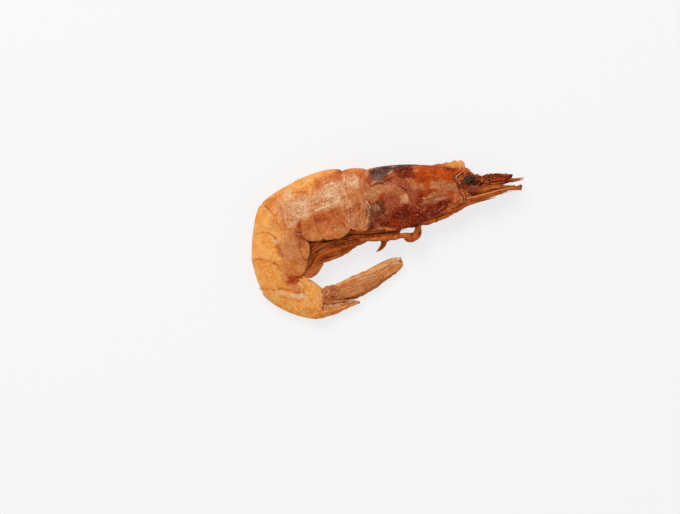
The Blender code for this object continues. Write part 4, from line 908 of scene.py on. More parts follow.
def make_antenna(side, flesh):
    """The long feeler's stalk of three joints, and the ringed stub that is left of the feeler."""
    skin = Skin("long_feeler_" + side_name(side))
    mid = SNOUT.mid_height
    route = [(19.4, 11.8, 1.3), (21.8, 12.2, 2.2), (24.2, 12.5, 2.1), (26.8, 12.8, 1.75), (29.4, 13.0, 1.45),
             (31.3, 13.05, 1.35)]
    slip = 0.0 if side > 0 else -1.4
    sweep(skin, [(x, y, mid + side * z) for x, y, z in route], [0.5, 0.8, 0.9, 0.85, 0.76, 0.62, 0.5, 0.38],
          [0.5, 0.8, 0.9, 0.8, 0.6, 0.5, 0.45], 101, joints=(0.3, 0.62), crumple=0.17, ragged=0.4, furrows=0.1,
          furrow_count=3, streaks={"rust": (0.55, 0.6), "wine": (0.35, 0.6), "umber": (0.1, 0.5), "tan": (0.2, 0.5)})
    for lift, tone, number in ((0.45, BROWN_FLESH, 14), (0.1, PALE_FLESH, 8), (-0.1, DARK_FLESH, 8),
                               (-0.45, DARK_FLESH, 12)):
        strands(skin, [(x, y + lift, mid + side * (z + 0.62)) for x, y, z in route[1:5]], number, 102 + number, tone,
                (0.25, 0.15), (0.08, 0.17), 0.9)
    sweep(skin, [(30.4, 12.95, mid + side * 1.35), (32.0 + slip * 0.5, 12.95, mid + side * 1.3),
                 (33.75 + slip, 13.15, mid + side * 1.25)], [0.45, 0.5, 0.55, 0.8], [0.4, 0.36, 0.36, 0.42], 104,
          crumple=0.06, ragged=0.4, streaks=BROWN_FLESH)
    strands(skin, [(x, y + 0.25, mid + side * (z + 0.4)) for x, y, z in route[3:]], 8, 103, PALE_FLESH, (0.2, 0.1),
            (0.08, 0.14), 0.5)
    draw = np.random.default_rng(105)
    for i in range(22):
        x = draw.uniform(21.6, 29.0)
        onward = (x - 21.6) / 7.4
        y, reach = lerp(12.2, 13.0, onward) + draw.uniform(0.0, 0.75), draw.uniform(0.2, 0.5)
        z = mid + side * (lerp(2.2, 1.45, onward) + 0.62)
        sweep(skin, [(x - reach, y - reach * 0.3, z - side * 0.25), (x, y, z),
                     (x + reach, y + reach * 0.5, z - side * 0.25)], [0.08, 0.2, 0.06], [0.1, 0.2, 0.06], 560 + i,
              sides=12, crumple=0.08, streaks=(ORANGE_FLESH, BROWN_FLESH, PALE_FLESH)[i % 3])
    skin.finish(flesh, ["antenna_" + side_name(side)])


def make_antennal_scale(side, flesh):
    """The stiff blade below the long feeler's stalk, ribbed on its upper edge and fringed on its lower."""
    skin = Skin("feeler_scale_" + side_name(side))
    mid = SNOUT.mid_height
    reach = 31.4 if side > 0 else 30.2
    route = [(18.4, 9.1, mid + side * 1.5), (21.0, 9.85, mid + side * 2.6), (24.2, 10.75, mid + side * 2.75),
             (27.2, 11.7, mid + side * 2.45), (reach, 12.95, mid + side * 2.2)]
    sweep(skin, route, [0.6, 0.8, 0.82, 0.64, 0.46, 0.16], [0.34, 0.34, 0.3, 0.26, 0.14], 111, shape=2.4,
          crumple=0.07, furrows=0.08, streaks=BROWN_BLADE)
    rib = [(x + 0.1, y + lift, z + side * 0.2) for (x, y, z), lift in zip(route, (0.75, 0.7, 0.62, 0.48, 0.12))]
    sweep(skin, rib, [0.2, 0.2, 0.17, 0.1], [0.24, 0.24, 0.18, 0.1], 112, crumple=0.03,
          streaks={"chalk": (0.55, 0.4), "amber": (0.5, 0.4)})
    strands(skin, [(x, y - 0.1, z + side * 0.25) for x, y, z in route[1:]], 12, 114, BROWN_BLADE, (0.3, 0.08),
            (0.08, 0.15), 0.9)
    bristles(skin, [(21.5, 9.45, mid + side * 2.8), (25.0, 10.45, mid + side * 2.6), (29.4, 12.0, mid + side * 2.3)],
             (0.93, 0.2, 0), 1.1, 26, 113, streaks={"rust": (0.6, 0.4), "umber": (0.3, 0.3)})
    skin.finish(flesh, ["antennal_scale_" + side_name(side)])


def make_maxilliped(side, flesh):
    """The leg-like mouth limb along the head's lower edge, with its bristles."""
    skin = Skin("mouth_limb_" + side_name(side))
    root, down = belly_root(CARAPACE, 0.07, side, 0.6)
    mid = SNOUT.mid_height
    slip = 0.0 if side > 0 else -0.5
    route = [root, root + down * 0.7 + (0.7, 0, 0), (20.4 + slip, 9.15, mid + side * 0.6),
             (24.3 + slip, 10.5, mid + side * 0.6), (28.4 + slip, 11.55, mid + side * 0.55)]
    sweep(skin, route, [0.5, 0.5, 0.46, 0.46, 0.46, 0.46, 0.38, 0.32, 0.1],
          [0.5, 0.45, 0.42, 0.42, 0.42, 0.42, 0.36, 0.3, 0.1], 121, joints=(0.3, 0.52, 0.76), crumple=0.06,
          furrows=0.04, streaks={"rust": (0.3, 0.6), "umber": (0.45, 0.6), "wine": (0.5, 0.6)})
    bristles(skin, route[2:], (0.8, -0.35, 0), 0.65, 26, 122, streaks={"umber": (0.6, 0.3), "rust": (0.4, 0.3)})
    skin.finish(flesh, ["maxilliped_" + side_name(side)])


# Walking legs and swimmerets

LEG = {"rust": (0.4, 0.6), "amber": (0.05, 0.4), "umber": (0.3, 0.6), "wine": (0.15, 0.6), "tan": (0.2, 0.5)}

# Place along the carapace, offset from the middle plane, the route as x, y and offset, and the radii.
LEGS = {
    1: (0.22, 0.75, ((15.0, 6.6, 0.8), (17.2, 7.3, 1.6), (20.0, 8.9, 1.85)), (0.45, 0.45, 0.4, 0.4, 0.3)),
    2: (0.42, 1.15, ((9.4, 4.3, 1.4), (11.6, 4.75, 1.5), (14.0, 5.6, 1.6), (15.6, 6.25, 1.85)),
        (0.5, 0.52, 0.52, 0.45, 0.4, 0.3)),
    3: (0.5, 1.2, ((7.7, 3.6, 1.35), (7.35, 1.25, 1.7), (5.7, 0.45, 2.1), (4.1, 1.1, 2.5), (1.2, 0.45, 2.6),
                   (-3.0, 0.2, 2.4), (-6.4, 0.0, 2.2)), (0.45, 0.55, 0.66, 0.95, 1.05, 0.6, 0.56, 0.52, 0.3)),
    4: (0.67, 1.3, ((2.9, 2.1, 1.4), (1.6, 1.3, 1.5), (-0.4, 1.05, 1.5), (-3.4, 1.0, 1.5)),
        (0.5, 0.5, 0.45, 0.4, 0.38, 0.28)),
}


def make_leg(number, side, flesh):
    """A walking leg, jointed and grooved as it dried; the first three end in a small pincer."""
    skin = Skin(f"walking_leg_{number}_{side_name(side)}")
    along, offset, route, radii = LEGS[number]
    if side < 0:
        route, radii = route[:-1], radii[:-1]
    mid = JOINTS[0].mid_height
    root, down = belly_root(CARAPACE, along, side, offset)
    points = [root, root + down * 0.95] + [np.array((x, y, mid + side * z)) for x, y, z in route]
    thin = [radius * 0.92 for radius in radii]
    sweep(skin, points, radii, thin, 130 + number, joints=(0.24, 0.5, 0.68), crumple=0.1, furrows=0.09,
          furrow_count=2, streaks=LEG)
    end, before = points[-1], points[-2]
    ahead = unit(end - before)
    if number < 4:
        for lift in (-0.14, 0.14):
            tip = end + ahead * 0.9 + np.array((-ahead[1], ahead[0], 0)) * lift * 1.6
            sweep(skin, [end - ahead * 0.4, end + ahead * 0.3 + (0, lift, 0), tip], [0.2, 0.18, 0.05],
                  [0.2, 0.16, 0.05], 140 + number, crumple=0.02, streaks=LEG)
    skin.finish(flesh, [f"leg_{number}_{side_name(side)}"])


def make_hooked_leg(side, flesh):
    """The last walking leg, whose flattened end hooks back below the belly line."""
    skin = Skin("walking_leg_5_" + side_name(side))
    root, down = belly_root(CARAPACE, 0.69, side, 0.5)
    z = JOINTS[0].mid_height + side * 0.5
    route = [root, root + down * 1.5, (1.2, 1.35, z), (-0.65, -0.05, z), (-0.95, -1.13, z), (-1.68, -2.15, z),
             (-2.85, -3.1, z)]
    keep = 7 if side > 0 else 6
    sweep(skin, route[:keep], [0.45, 0.5, 0.6, 0.86, 0.7, 0.5, 0.06][:keep],
          [0.35, 0.35, 0.35, 0.35, 0.32, 0.26, 0.06][:keep], 151, joints=(0.45,), crumple=0.05, furrows=0.06,
          furrow_count=2, streaks=LEG)
    skin.finish(flesh, ["leg_5_" + side_name(side)])


# Place along the ring, elbow, knee, tip, half widths of base joint and blades, their sag, and how dark they are
# painted:
# painted shade, most on those that lie in shade under the belly.
PLEOPODS = {
    1: (0.5, (-6.3, 2.05), (-3.9, 2.1), (3.2, 2.7), 0.55, 0.55, 0.0, 0.15),
    2: (0.5, (-12.1, 0.85), (-9.0, 0.66), (-4.4, 0.84), 0.6, 0.48, -0.08, 0.4),
    3: (0.55, (-17.2, -1.1), (-13.2, -0.75), (-6.8, -0.15), 0.66, 0.48, 0.0, 0.6),
    4: (0.5, (-18.1, -3.1), (-14.8, -2.3), (-4.2, 0.0), 1.0, 0.6, 0.3, 0.25),
    5: (0.62, (-19.15, -8.0), (-16.5, -5.15), (-8.2, -1.85), 1.32, 0.75, 0.2, 0.05),
}


def make_pleopod(number, side, flesh):
    """A swimmeret: a plate-like base joint and two feathery blades, dried into a bundle of strands."""
    plate = RINGS[f"abdomen_{number}"]
    along, elbow, knee, tip, reach, blades, sag, dark = PLEOPODS[number]
    skin = Skin(f"swimmeret_{number}_{side_name(side)}")
    mid = plate.line(np.array([along]), np.array([0.5]))[0, 2]
    root, down = belly_root(plate, along, side, 1.0)
    slip = 0.0 if side > 0 else -0.4
    z_base, z_outer, z_inner = mid + side * 1.0, mid + side * 1.33, mid + side * 0.68
    knee, tip = np.array(knee), np.array(tip)
    onward = unit(tip - knee)
    start = knee - onward * 1.1
    square = np.array((-onward[1], onward[0]))
    bend = lerp(knee, tip, 0.5) - square * sag
    # The dark wine share is painted shade for the swimmerets that lie in shade under the belly.
    tone = {"wine": (dark, 0.6), "rust": (0.5, 0.5), "umber": (0.1, 0.4), "tan": (0.3, 0.5)}
    pale = {"tan": (0.6, 0.5), "rust": (0.35, 0.5), "umber": (0.1, 0.4), "wine": (dark * 0.5, 0.5)}
    sweep(skin, [root, root + down * 1.1, (*elbow, z_base), (*knee, z_base)],
          [0.5, 0.65, reach, reach, reach * 0.75], [0.45, 0.5, 0.5, 0.48, 0.4], 160 + number, shape=2.6,
          crumple=0.08, furrows=0.06, streaks=pale)
    for row, (z, share, wide, deep) in enumerate(((z_outer, 1.0, blades, 0.25), (z_inner, 0.5, 0.46, 0.23))):
        far = lerp(knee, tip, share) + (slip, 0)
        middle = bend if share == 1.0 else lerp(knee, tip, 0.2)
        sweep(skin, [(*start, z), (*middle, z), (*far, z)], [wide * 0.9, wide, wide, wide * 0.85, 0.14],
              [deep, deep, deep, deep * 0.9, 0.1], 170 + number * 2 + row, shape=2.4, crumple=0.06, furrows=0.07,
              furrow_count=3, streaks=tone)
        for i, shift in enumerate((-0.75, -0.25, 0.25, 0.75)):
            aside = square * wide * shift
            first, second = start + aside + onward * 0.4, middle + aside
            last = lerp(first, far, 0.93 + 0.05 * math.sin(i * 2.4)) + aside * 0.4
            lift = side * (deep * 0.85 - 0.04 * abs(shift))
            sweep(skin, [(*first, z + lift), (*second, z + lift), (*last, z + lift * 0.8)], [0.13, 0.12, 0.1, 0.05],
                  [0.14, 0.13, 0.1, 0.05], 190 + number * 8 + i, sides=10, crumple=0.04, streaks=tone)
    skin.finish(flesh, [f"pleopod_{number}_{side_name(side)}"])


# The tail fan

# How much of each colour the fan's outer and inner blades took, and how much that wavers down their length
FAN = {"amber": (0.64, 0.5), "tan": (0.36, 0.5), "rust": (0.02, 0.45), "chalk": (0.24, 0.35)}
BLADE = {"tan": (0.5, 0.5), "rust": (0.02, 0.35), "amber": (0.55, 0.5), "chalk": (0.28, 0.35)}


def make_telson(shell):
    """The pointed middle blade of the tail: pale ridged back, orange flank, a groove between them."""
    skin = Skin("tail_spike")
    mid = JOINTS[6].mid_height
    root = JOINTS[6].point(0.33) - JOINTS[6].rearward * 0.5
    route = [(*root, mid), (-14.3, -17.5, mid), (-10.4, -16.3, mid), (-6.8, -15.55, mid)]
    sweep(skin, route, [1.65, 1.7, 1.45, 1.1, 0.72, 0.32], [1.4, 1.5, 1.3, 1.0, 0.6, 0.25], 201, sides=72,
          crumple=0.1, furrows=0.12, furrow_count=3, streaks={**FAN, "rust": (0.3, 0.5)})
    for offset, wide, tone in ((0.75, 0.62, {"chalk": (0.35, 0.4), "tan": (0.7, 0.4)}),
                               (-0.5, 0.4, {"amber": (0.6, 0.4), "rust": (0.3, 0.4)})):
        ridge = [(x, y + offset * share, z + 1.15 * (0.2 + 0.8 * share)) for (x, y, z), share
                 in zip(route, (1.0, 1.0, 0.75, 0.15))]
        sweep(skin, ridge, [wide, wide, wide * 0.8, 0.2], [0.36, 0.36, 0.3, 0.2], 203, crumple=0.08, streaks=tone)
    for side in (1, -1):
        sweep(skin, [(-19.6, -18.6, mid + side * 1.0), (-17.8, -18.75, mid + side * 1.5),
                     (-15.9, -18.45, mid + side * 1.4), (-13.4, -17.7, mid + side * 0.9)],
              [0.5, 1.0, 1.0, 0.4], [0.3, 0.7, 0.7, 0.3], 204, sides=48, crumple=0.1,
              streaks={"amber": (0.85, 0.4), "rust": (0.3, 0.5)})
    skin.finish(shell, ["telson"])


def make_uropod_base(side, shell):
    """The crumpled joint that carries the two side blades, where the sixth ring's soft end dried in folds."""
    skin = Skin("fan_base_" + side_name(side))
    z = JOINTS[6].mid_height + side * 0.9
    tone = {"rust": (0.18, 0.6), "tan": (0.45, 0.6), "amber": (0.4, 0.5), "chalk": (0.08, 0.4)}
    pale = {"tan": (0.7, 0.5), "chalk": (0.2, 0.4), "amber": (0.2, 0.4)}
    sweep(skin, [(-16.6, -14.3, z), (-15.2, -13.85, z), (-13.6, -13.5, z), (-11.8, -12.6, z)],
          [1.4, 1.85, 2.1, 2.1, 1.3], [0.75, 0.95, 0.95, 0.85, 0.5], 211, sides=64, crumple=0.2, streaks=tone)
    folds = (((-16.6, -12.7), (-15.3, -12.2), (-13.8, -11.8)), ((-16.7, -13.4), (-15.0, -12.6), (-12.8, -12.2)),
             ((-16.6, -14.6), (-14.8, -13.9), (-12.4, -13.4)), ((-16.4, -15.7), (-14.8, -15.1), (-12.8, -14.5)),
             ((-15.8, -15.9), (-12.6, -15.4), (-9.4, -15.0)))
    for i, route in enumerate(folds):
        sweep(skin, [(x, y, z + side * 0.62) for x, y in route], [0.3, 0.42, 0.3, 0.1], [0.22, 0.28, 0.2, 0.1], 212 + i,
              crumple=0.14, streaks=(tone, pale, tone, pale, tone)[i])
    sweep(skin, [(-17.0, -16.3, z - side * 0.3), (-14.2, -15.9, z - side * 0.2), (-10.6, -15.3, z - side * 0.3)],
          [0.5, 0.85, 0.7, 0.2], [0.5, 0.6, 0.5, 0.2], 219, sides=32, crumple=0.14,
          streaks={"tan": (0.4, 0.5), "amber": (0.6, 0.4)})
    draw = np.random.default_rng(5)
    for i in range(22):
        spot = np.array((draw.uniform(-16.4, -12.2), 0, z + side * draw.uniform(0.75, 1.0)))
        spot[1] = -13.3 + 0.35 * (spot[0] + 14.4) + draw.uniform(-1.5, 1.1)
        reach = draw.uniform(0.35, 0.8)
        ends = (reach, reach * 0.4, side * 0.3), (reach, draw.uniform(-0.1, 0.5), -side * 0.2)
        sweep(skin, [spot - ends[0], spot, spot + ends[1]], [0.12, 0.24, 0.08], [0.14, 0.22, 0.08], 240 + i,
              sides=12, crumple=0.08, streaks=(tone, pale)[i % 2])
    skin.finish(shell, ["uropod_base_" + side_name(side)])


def make_uropod_blades(side, shell):
    """The outer blade, long and blunt, and the shorter inner blade over it, both ribbed and fringed."""
    mid = JOINTS[6].mid_height
    tag = side_name(side)
    drop = 0.0 if side > 0 else 1.0
    z = mid + side * 0.52
    outer = Skin("fan_outer_" + tag)
    route = [(-13.4, -13.0, z), (-8.2, -10.95 - drop, z), (-3.2, -8.8 - drop, z), (1.2, -6.4 - drop * 0.6, z),
             (3.75, -5.25 - drop * 0.5, z)]
    sweep(outer, route, [1.4, 1.7, 1.85, 1.85, 1.85, 1.85, 1.75, 1.4, 0.8], [0.3, 0.3, 0.3, 0.28, 0.16], 221,
          sides=96, shape=2.6, crumple=0.07, furrows=0.04, furrow_count=5, ragged=0.45, streaks=FAN, bow=-0.05)
    rib = [(x - 0.1, y + lift, z + side * 0.26) for (x, y, z), lift in zip(route, (0.9, 1.2, 1.25, 1.1, 0.7))]
    sweep(outer, rib, [0.5, 0.55, 0.55, 0.3], [0.22, 0.22, 0.2, 0.1], 223, crumple=0.06,
          streaks={"chalk": (0.35, 0.5), "tan": (0.15, 0.4), "amber": (0.7, 0.4)})
    sweep(outer, [(-5.0, -7.7 - drop, z), (-2.0, -6.2 - drop, z), (0.45, -4.95 - drop * 0.8, z)], [0.2, 0.32, 0.12],
          [0.2, 0.22, 0.1], 224, crumple=0.04, streaks=FAN)
    sweep(outer, [(-0.5, -6.7 - drop * 0.8, z + side * 0.1), (2.0, -5.7 - drop * 0.6, z + side * 0.2),
                  (3.6, -5.2 - drop * 0.5, z + side * 0.1)], [0.5, 1.0, 0.9, 0.4], [0.14, 0.22, 0.1], 226, sides=48,
          crumple=0.1, streaks={"chalk": (0.4, 0.5), "tan": (0.5, 0.4)})
    for i, lift in enumerate((-1.2, -0.7, 0.1, 0.5)):
        seam = [(x, y + lift, z + side * 0.3) for x, y, z in route[1:]]
        sweep(outer, seam, [0.06, 0.13, 0.1, 0.05], [0.06, 0.08, 0.06, 0.04], 228 + i, sides=10, crumple=0.03,
              streaks={"rust": (0.2, 0.4), "tan": (0.35, 0.4), "amber": (0.5, 0.4)})
    outer.finish(shell, ["uropod_outer_" + tag])
    z = mid + side * 1.25
    inner = Skin("fan_inner_" + tag)
    route = [(-13.3, -13.6 - drop * 0.25, z), (-8.4, -11.95 - drop, z), (-4.4, -10.35 - drop, z),
             (-1.1, -9.1 - drop, z - side * 0.15)]
    sweep(inner, route, [1.5, 1.85, 1.85, 1.65, 1.3, 0.5], [0.34, 0.34, 0.32, 0.3, 0.16], 225, sides=80,
          shape=2.4, crumple=0.08, furrows=0.04, furrow_count=4, ragged=0.3, streaks=BLADE)
    for i, (offset, wide, tone) in enumerate(((0.45, 0.3, "tan"), (1.0, 0.12, "rust"), (0.1, 0.14, "rust"),
                                              (-0.35, 0.3, "tan"), (-0.7, 0.13, "rust"), (-1.2, 0.16, "rust"))):
        rib = [(x, y + offset * share, z + side * 0.28) for (x, y, z), share in zip(route, (1.0, 1.0, 0.9, 0.3))]
        sweep(inner, rib, [wide * 0.7, wide, wide * 0.8, 0.06], [0.12, 0.15, 0.12, 0.05], 232 + i, sides=16,
              crumple=0.05, streaks={tone: (0.22, 0.4), "tan": (0.45, 0.4), "amber": (0.45, 0.5), "chalk": (0.2, 0.4)})
    inner.finish(shell, ["uropod_inner_" + tag])


def make_tangle(flesh):
    """The dark mat of dried skin and strands between the belly and the folded limbs."""
    skin = Skin("belly_mat")
    draw = np.random.default_rng(7)
    mid = JOINTS[0].mid_height
    dark = {"wine": (0.5, 0.6), "rust": (0.4, 0.6), "umber": (0.2, 0.5), "tan": (0.15, 0.4)}
    light = {"rust": (0.5, 0.5), "tan": (0.45, 0.5), "amber": (0.15, 0.4), "wine": (0.02, 0.35)}
    beds = (
        (((-20.5, -1.2), (-14.5, 1.0), (-7.5, 2.2), (0.5, 3.0), (6.0, 3.6)), (1.0, 1.3, 1.2, 0.8, 0.3), 1.6),
        (((-20.0, -3.4), (-15.5, -1.3), (-10.5, 0.1), (-5.0, 0.9)), (0.8, 1.2, 1.0, 0.3), 1.3),
        (((-20.4, -7.2), (-19.6, -4.9), (-17.4, -2.8)), (0.9, 1.1, 0.6), 1.0),
        (((-18.8, -5.0), (-14.8, -3.5), (-10.2, -1.7), (-5.6, -0.4)), (0.9, 1.2, 0.95, 0.3), 1.0),
        (((-9.0, 1.5), (-3.0, 1.7), (0.5, 2.1), (3.5, 2.9)), (0.9, 1.1, 1.0, 0.3), 1.2),
        (((-21.0, -0.6), (-19.2, -1.6), (-17.2, -2.2)), (0.9, 1.1, 0.5), 1.4),
    )
    for i, (route, wide, deep) in enumerate(beds):
        sweep(skin, [(x, y, mid - 0.4) for x, y in route], wide, [deep] * len(route), 300 + i, sides=48,
              crumple=0.16, furrows=0.16, furrow_count=4, streaks=dark)
    runs = (
        ((-18.9, 0.6), (-12.0, 2.1), (-6.0, 3.0), (-1.0, 3.5), dark, 9),
        ((-13.5, 2.2), (-7.0, 2.6), (-1.0, 3.1), (4.2, 3.9), light, 12),
        ((-10.0, 2.2), (-6.0, 1.9), (-2.0, 2.0), (1.6, 2.7), light, 12),
        ((-19.5, -1.0), (-14.0, 0.3), (-8.0, 1.3), (0.0, 1.6), dark, 14),
        ((-19.4, -3.2), (-14.6, -0.9), (-9.8, 0.2), (-4.0, 1.0), dark, 12),
        ((-6.0, 1.2), (-1.0, 0.9), (3.0, 1.0), (6.4, 1.4), light, 7),
        ((-18.6, -5.8), (-16.6, -3.6), (-12.6, -2.2), (-7.6, -0.2), light, 14),
        ((2.5, 3.5), (6.4, 4.2), (9.6, 4.9), (13.0, 5.6), light, 6),
        ((-4.6, 2.2), (-2.0, 2.4), (0.2, 2.5), (2.4, 2.75), light, 12),
        ((-9.6, 0.3), (-6.6, 0.2), (-4.4, 0.1), (-1.4, 0.2), dark, 9),
    )
    for *route, tone, number in runs:
        for _ in range(number):
            lift = draw.normal(0, 0.42)
            z = mid + draw.uniform(-1.6, 1.6)
            slide = draw.uniform(-1.2, 1.2)
            places = [(x + slide, y + lift * 0.55 + draw.normal(0, 0.16), z + draw.normal(0, 0.15)) for x, y in route]
            thick = draw.uniform(0.1, 0.26)
            sweep(skin, places, [thick, thick * 1.2, thick, 0.05], [thick * 0.8, thick, thick * 0.8, 0.05],
                  int(draw.integers(900)), sides=8, crumple=0.03, streaks=tone)
    for side in (1, -1):
        edge = [(x, y, mid + side * 2.1) for x, y in ((-11.0, 1.9), (-7.0, 2.2), (-2.0, 2.5), (3.6, 3.1))]
        strands(skin, edge, 18, 320, light, (0.35, 0.5), (0.1, 0.22), 1.2)
    skin.finish(flesh, [])


# Finishes

def linear(code):
    """An sRGB hex colour as linear red, green, blue and alpha."""
    parts = [int(code[i:i + 2], 16) / 255 for i in (1, 3, 5)]
    return (*[c / 12.92 if c <= 0.04045 else ((c + 0.055) / 1.055) ** 2.4 for c in parts], 1.0)


def add_node(tree, kind, inputs, **settings):
    """A shader node with its settings. Each input, by name or number, is a fixed value or another node's output."""
    node = tree.nodes.new(kind)
    for name, value in settings.items():
        setattr(node, name, value)
    for name, value in inputs.items():
        if isinstance(value, bpy.types.NodeSocket):
            tree.links.new(value, node.inputs[name])
        else:
            node.inputs[name].default_value = value
    return node


# Size in millimetres, detail and roughness of the patterns in the dried skin. The real pits and specks are under
# 0.1 mm, too fine to show, so they are drawn as coarse as they need to be.
SKIN_PATTERNS = {
    "blotch": (2.4, 5.0, 0.55),  # where the flesh under the shell dried on to it
    "fleck": (0.6, 4.0, 0.6),
    "marbling": (0.45, 3.0, 0.7),
    "speck": (0.3, 1.0, 0.55),  # grains of salt and dried flesh
    "pit": (0.32, 2.0, 0.55),
}
# The part of a pattern that counts, and the shares that it is spread to
SKIN_SHARES = {
    "blotch": (0.38, 0.62, 0.0, 1.0),
    "marbling": (0.82, 1.18, 0.0, 1.0),
    "vein": (0.9, 2.2, 0.0, 0.42),
    "speck": (0.57, 0.74, 0.0, 0.36),
    "pit": (0.28, 0.72, 0.0, 1.0),
    "fray": (0.0, 1.0, 0.25, 1.75),
    # where shade is painted in the hollows, and highlight on the crests
    "hollow": (1.34, 0.45, 0.0, 0.75),
    "crest": (1.3, 2.2, 0.0, 0.32),
}
PATCH_EDGE = (0.08, 0.95, 0.0, 1.0)
CRACKLE_MM = 0.8  # size of a cell of the crackle in the chalky film
FILM, SALT = linear("#E4CAB0"), linear("#E0A878")
PIT_TINT, RISE_TINT = (0.95, 0.84, 0.7, 1.0), (1.06, 1.12, 1.2, 1.0)
HOLLOW_SHADE_TINT = (0.66, 0.46, 0.27)  # painted shade: a hollow is painted darker and redder
CREST_HIGHLIGHT_GAIN, CREST_HIGHLIGHT_LIFT = (1.5, 1.5, 1.5), (0.1, 0.05, 0.025)  # painted highlight: a crest is painted paler
GRAIN_RELIEF, FLECK_RELIEF = 1.5, 1.2  # how much the finest crinkles add to the folds of the mesh, for the painted shade and highlight
THROUGH_SHELL_MM = (1.0, 0.42, 0.16)  # how far red, green and blue light spreads in the shell, times the next
SPREAD_MM = 0.9


def dried_skin(name, base, tints, roughness, grain_mm, dent_mm, glow=0.12):
    """Dried chitin: matt with a trace of wax, mottled by what dried under it, and finely crinkled all over.

    It reads as thin and slightly see-through, with painted highlight on its crests and painted shade, deeper in
    colour, in its hollows. Each tint is a channel of the mesh with the two colours that it wavers between. The
    grain is the size of the finest crinkles, the dents are what they do to the light, and the glow is the light that
    passes through the shell."""
    skin = bpy.data.materials.new(name)
    skin.use_nodes = True
    tree = skin.node_tree
    shader = tree.nodes["Principled BSDF"]
    spot = add_node(tree, "ShaderNodeTexCoord", {}).outputs["Object"]

    source = {}
    for kind, (size_mm, detail, rough) in {**SKIN_PATTERNS, "grain": (grain_mm, 2.0, 0.55)}.items():
        source[kind] = add_node(tree, "ShaderNodeTexNoise", {
            "Vector": spot, "Scale": 1 / (size_mm * MM), "Detail": detail, "Roughness": rough}).outputs["Fac"]
    source["vein"] = add_node(tree, "ShaderNodeTexNoise", {
        "Vector": spot, "Scale": 1 / (CRACKLE_MM * MM), "Detail": 3.0, "Roughness": 0.7, "Lacunarity": 2.2,
        "Distortion": 0.6}, noise_type="RIDGED_MULTIFRACTAL").outputs["Fac"]
    source["fray"] = source["fleck"]
    source["marbling"] = add_node(tree, "ShaderNodeMath", {0: source["blotch"], 1: source["marbling"]},
                                  operation="ADD").outputs[0]
    channel = {kind: add_node(tree, "ShaderNodeAttribute", {}, attribute_name=kind).outputs["Fac"]
               for kind in dict.fromkeys((*tints, "chalk", "fold"))}
    # The fold share and the finest crinkles set where shade and highlight are painted
    height = channel["fold"]
    for kind, relief_share in (("grain", GRAIN_RELIEF), ("fleck", FLECK_RELIEF)):
        height = add_node(tree, "ShaderNodeMath", {0: source[kind], 1: relief_share, 2: height},
                          operation="MULTIPLY_ADD").outputs[0]
    source["hollow"] = source["crest"] = height
    ranges = {kind: (source[kind], *limits) for kind, limits in SKIN_SHARES.items()}
    ranges["roughness"] = (source["fleck"], 0.25, 0.75, *roughness)
    share = {}
    for kind in (*ranges, *tints):
        if kind in tints:  # the flecks fray the edge of each patch
            frayed = add_node(tree, "ShaderNodeMath", {0: channel[kind], 1: share["fray"]}, operation="MULTIPLY")
            ranges[kind] = (frayed.outputs[0], *PATCH_EDGE)
        value, low, high, to_low, to_high = ranges[kind]
        share[kind] = add_node(tree, "ShaderNodeMapRange", {
            "Value": value, "From Min": low, "From Max": high, "To Min": to_low, "To Max": to_high},
            interpolation_type="SMOOTHSTEP").outputs[0]
    share["film"] = add_node(tree, "ShaderNodeMath", {0: share["vein"], 1: channel["chalk"]},
                             operation="MULTIPLY").outputs[0]

    # Base colour, tints, film and salt, each laid over the one before by its share
    colour = None
    for kind, pair in {"blotch": base, **tints, "film": (FILM,), "speck": (SALT,)}.items():
        if kind in tints:
            over = add_node(tree, "ShaderNodeMix", {0: share["marbling"], 6: linear(pair[0]), 7: linear(pair[1])},
                            data_type="RGBA").outputs[2]
        else:
            over = linear(pair[1]) if kind == "blotch" else pair[0]
        colour = add_node(tree, "ShaderNodeMix", {0: share[kind], 6: colour or linear(pair[0]), 7: over},
                          data_type="RGBA").outputs[2]
    pitted = add_node(tree, "ShaderNodeMix", {0: share["pit"], 6: PIT_TINT, 7: RISE_TINT}, data_type="RGBA")
    colour = add_node(tree, "ShaderNodeVectorMath", {0: colour, 1: pitted.outputs[2]}, operation="MULTIPLY").outputs[0]
    # Painted shade, darker and redder, in the hollows of the folds and crinkles, and painted highlight on their crests
    hollow_shade = add_node(tree, "ShaderNodeVectorMath", {0: colour, 1: HOLLOW_SHADE_TINT}, operation="MULTIPLY")
    crest_highlight = add_node(tree, "ShaderNodeVectorMath", {0: colour, 1: CREST_HIGHLIGHT_GAIN, 2: CREST_HIGHLIGHT_LIFT},
                        operation="MULTIPLY_ADD")
    for kind, over in (("hollow", hollow_shade), ("crest", crest_highlight)):
        colour = add_node(tree, "ShaderNodeMix", {0: share[kind], 6: colour, 7: over.outputs[0]},
                          data_type="RGBA").outputs[2]
    dents = add_node(tree, "ShaderNodeBump", {
        "Height": source["grain"], "Strength": 0.7, "Distance": dent_mm * MM})
    dents = add_node(tree, "ShaderNodeBump", {
        "Height": source["fleck"], "Normal": dents.outputs[0], "Strength": 0.6, "Distance": dent_mm * 2 * MM})
    tree.links.new(colour, shader.inputs["Base Color"])
    tree.links.new(share["roughness"], shader.inputs["Roughness"])
    tree.links.new(dents.outputs[0], shader.inputs["Normal"])
    shader.inputs["IOR"].default_value = 1.5
    shader.inputs["Specular IOR Level"].default_value = 0.05
    shader.inputs["Subsurface Weight"].default_value = glow
    shader.inputs["Subsurface Radius"].default_value = THROUGH_SHELL_MM
    shader.inputs["Subsurface Scale"].default_value = SPREAD_MM * MM
    return skin


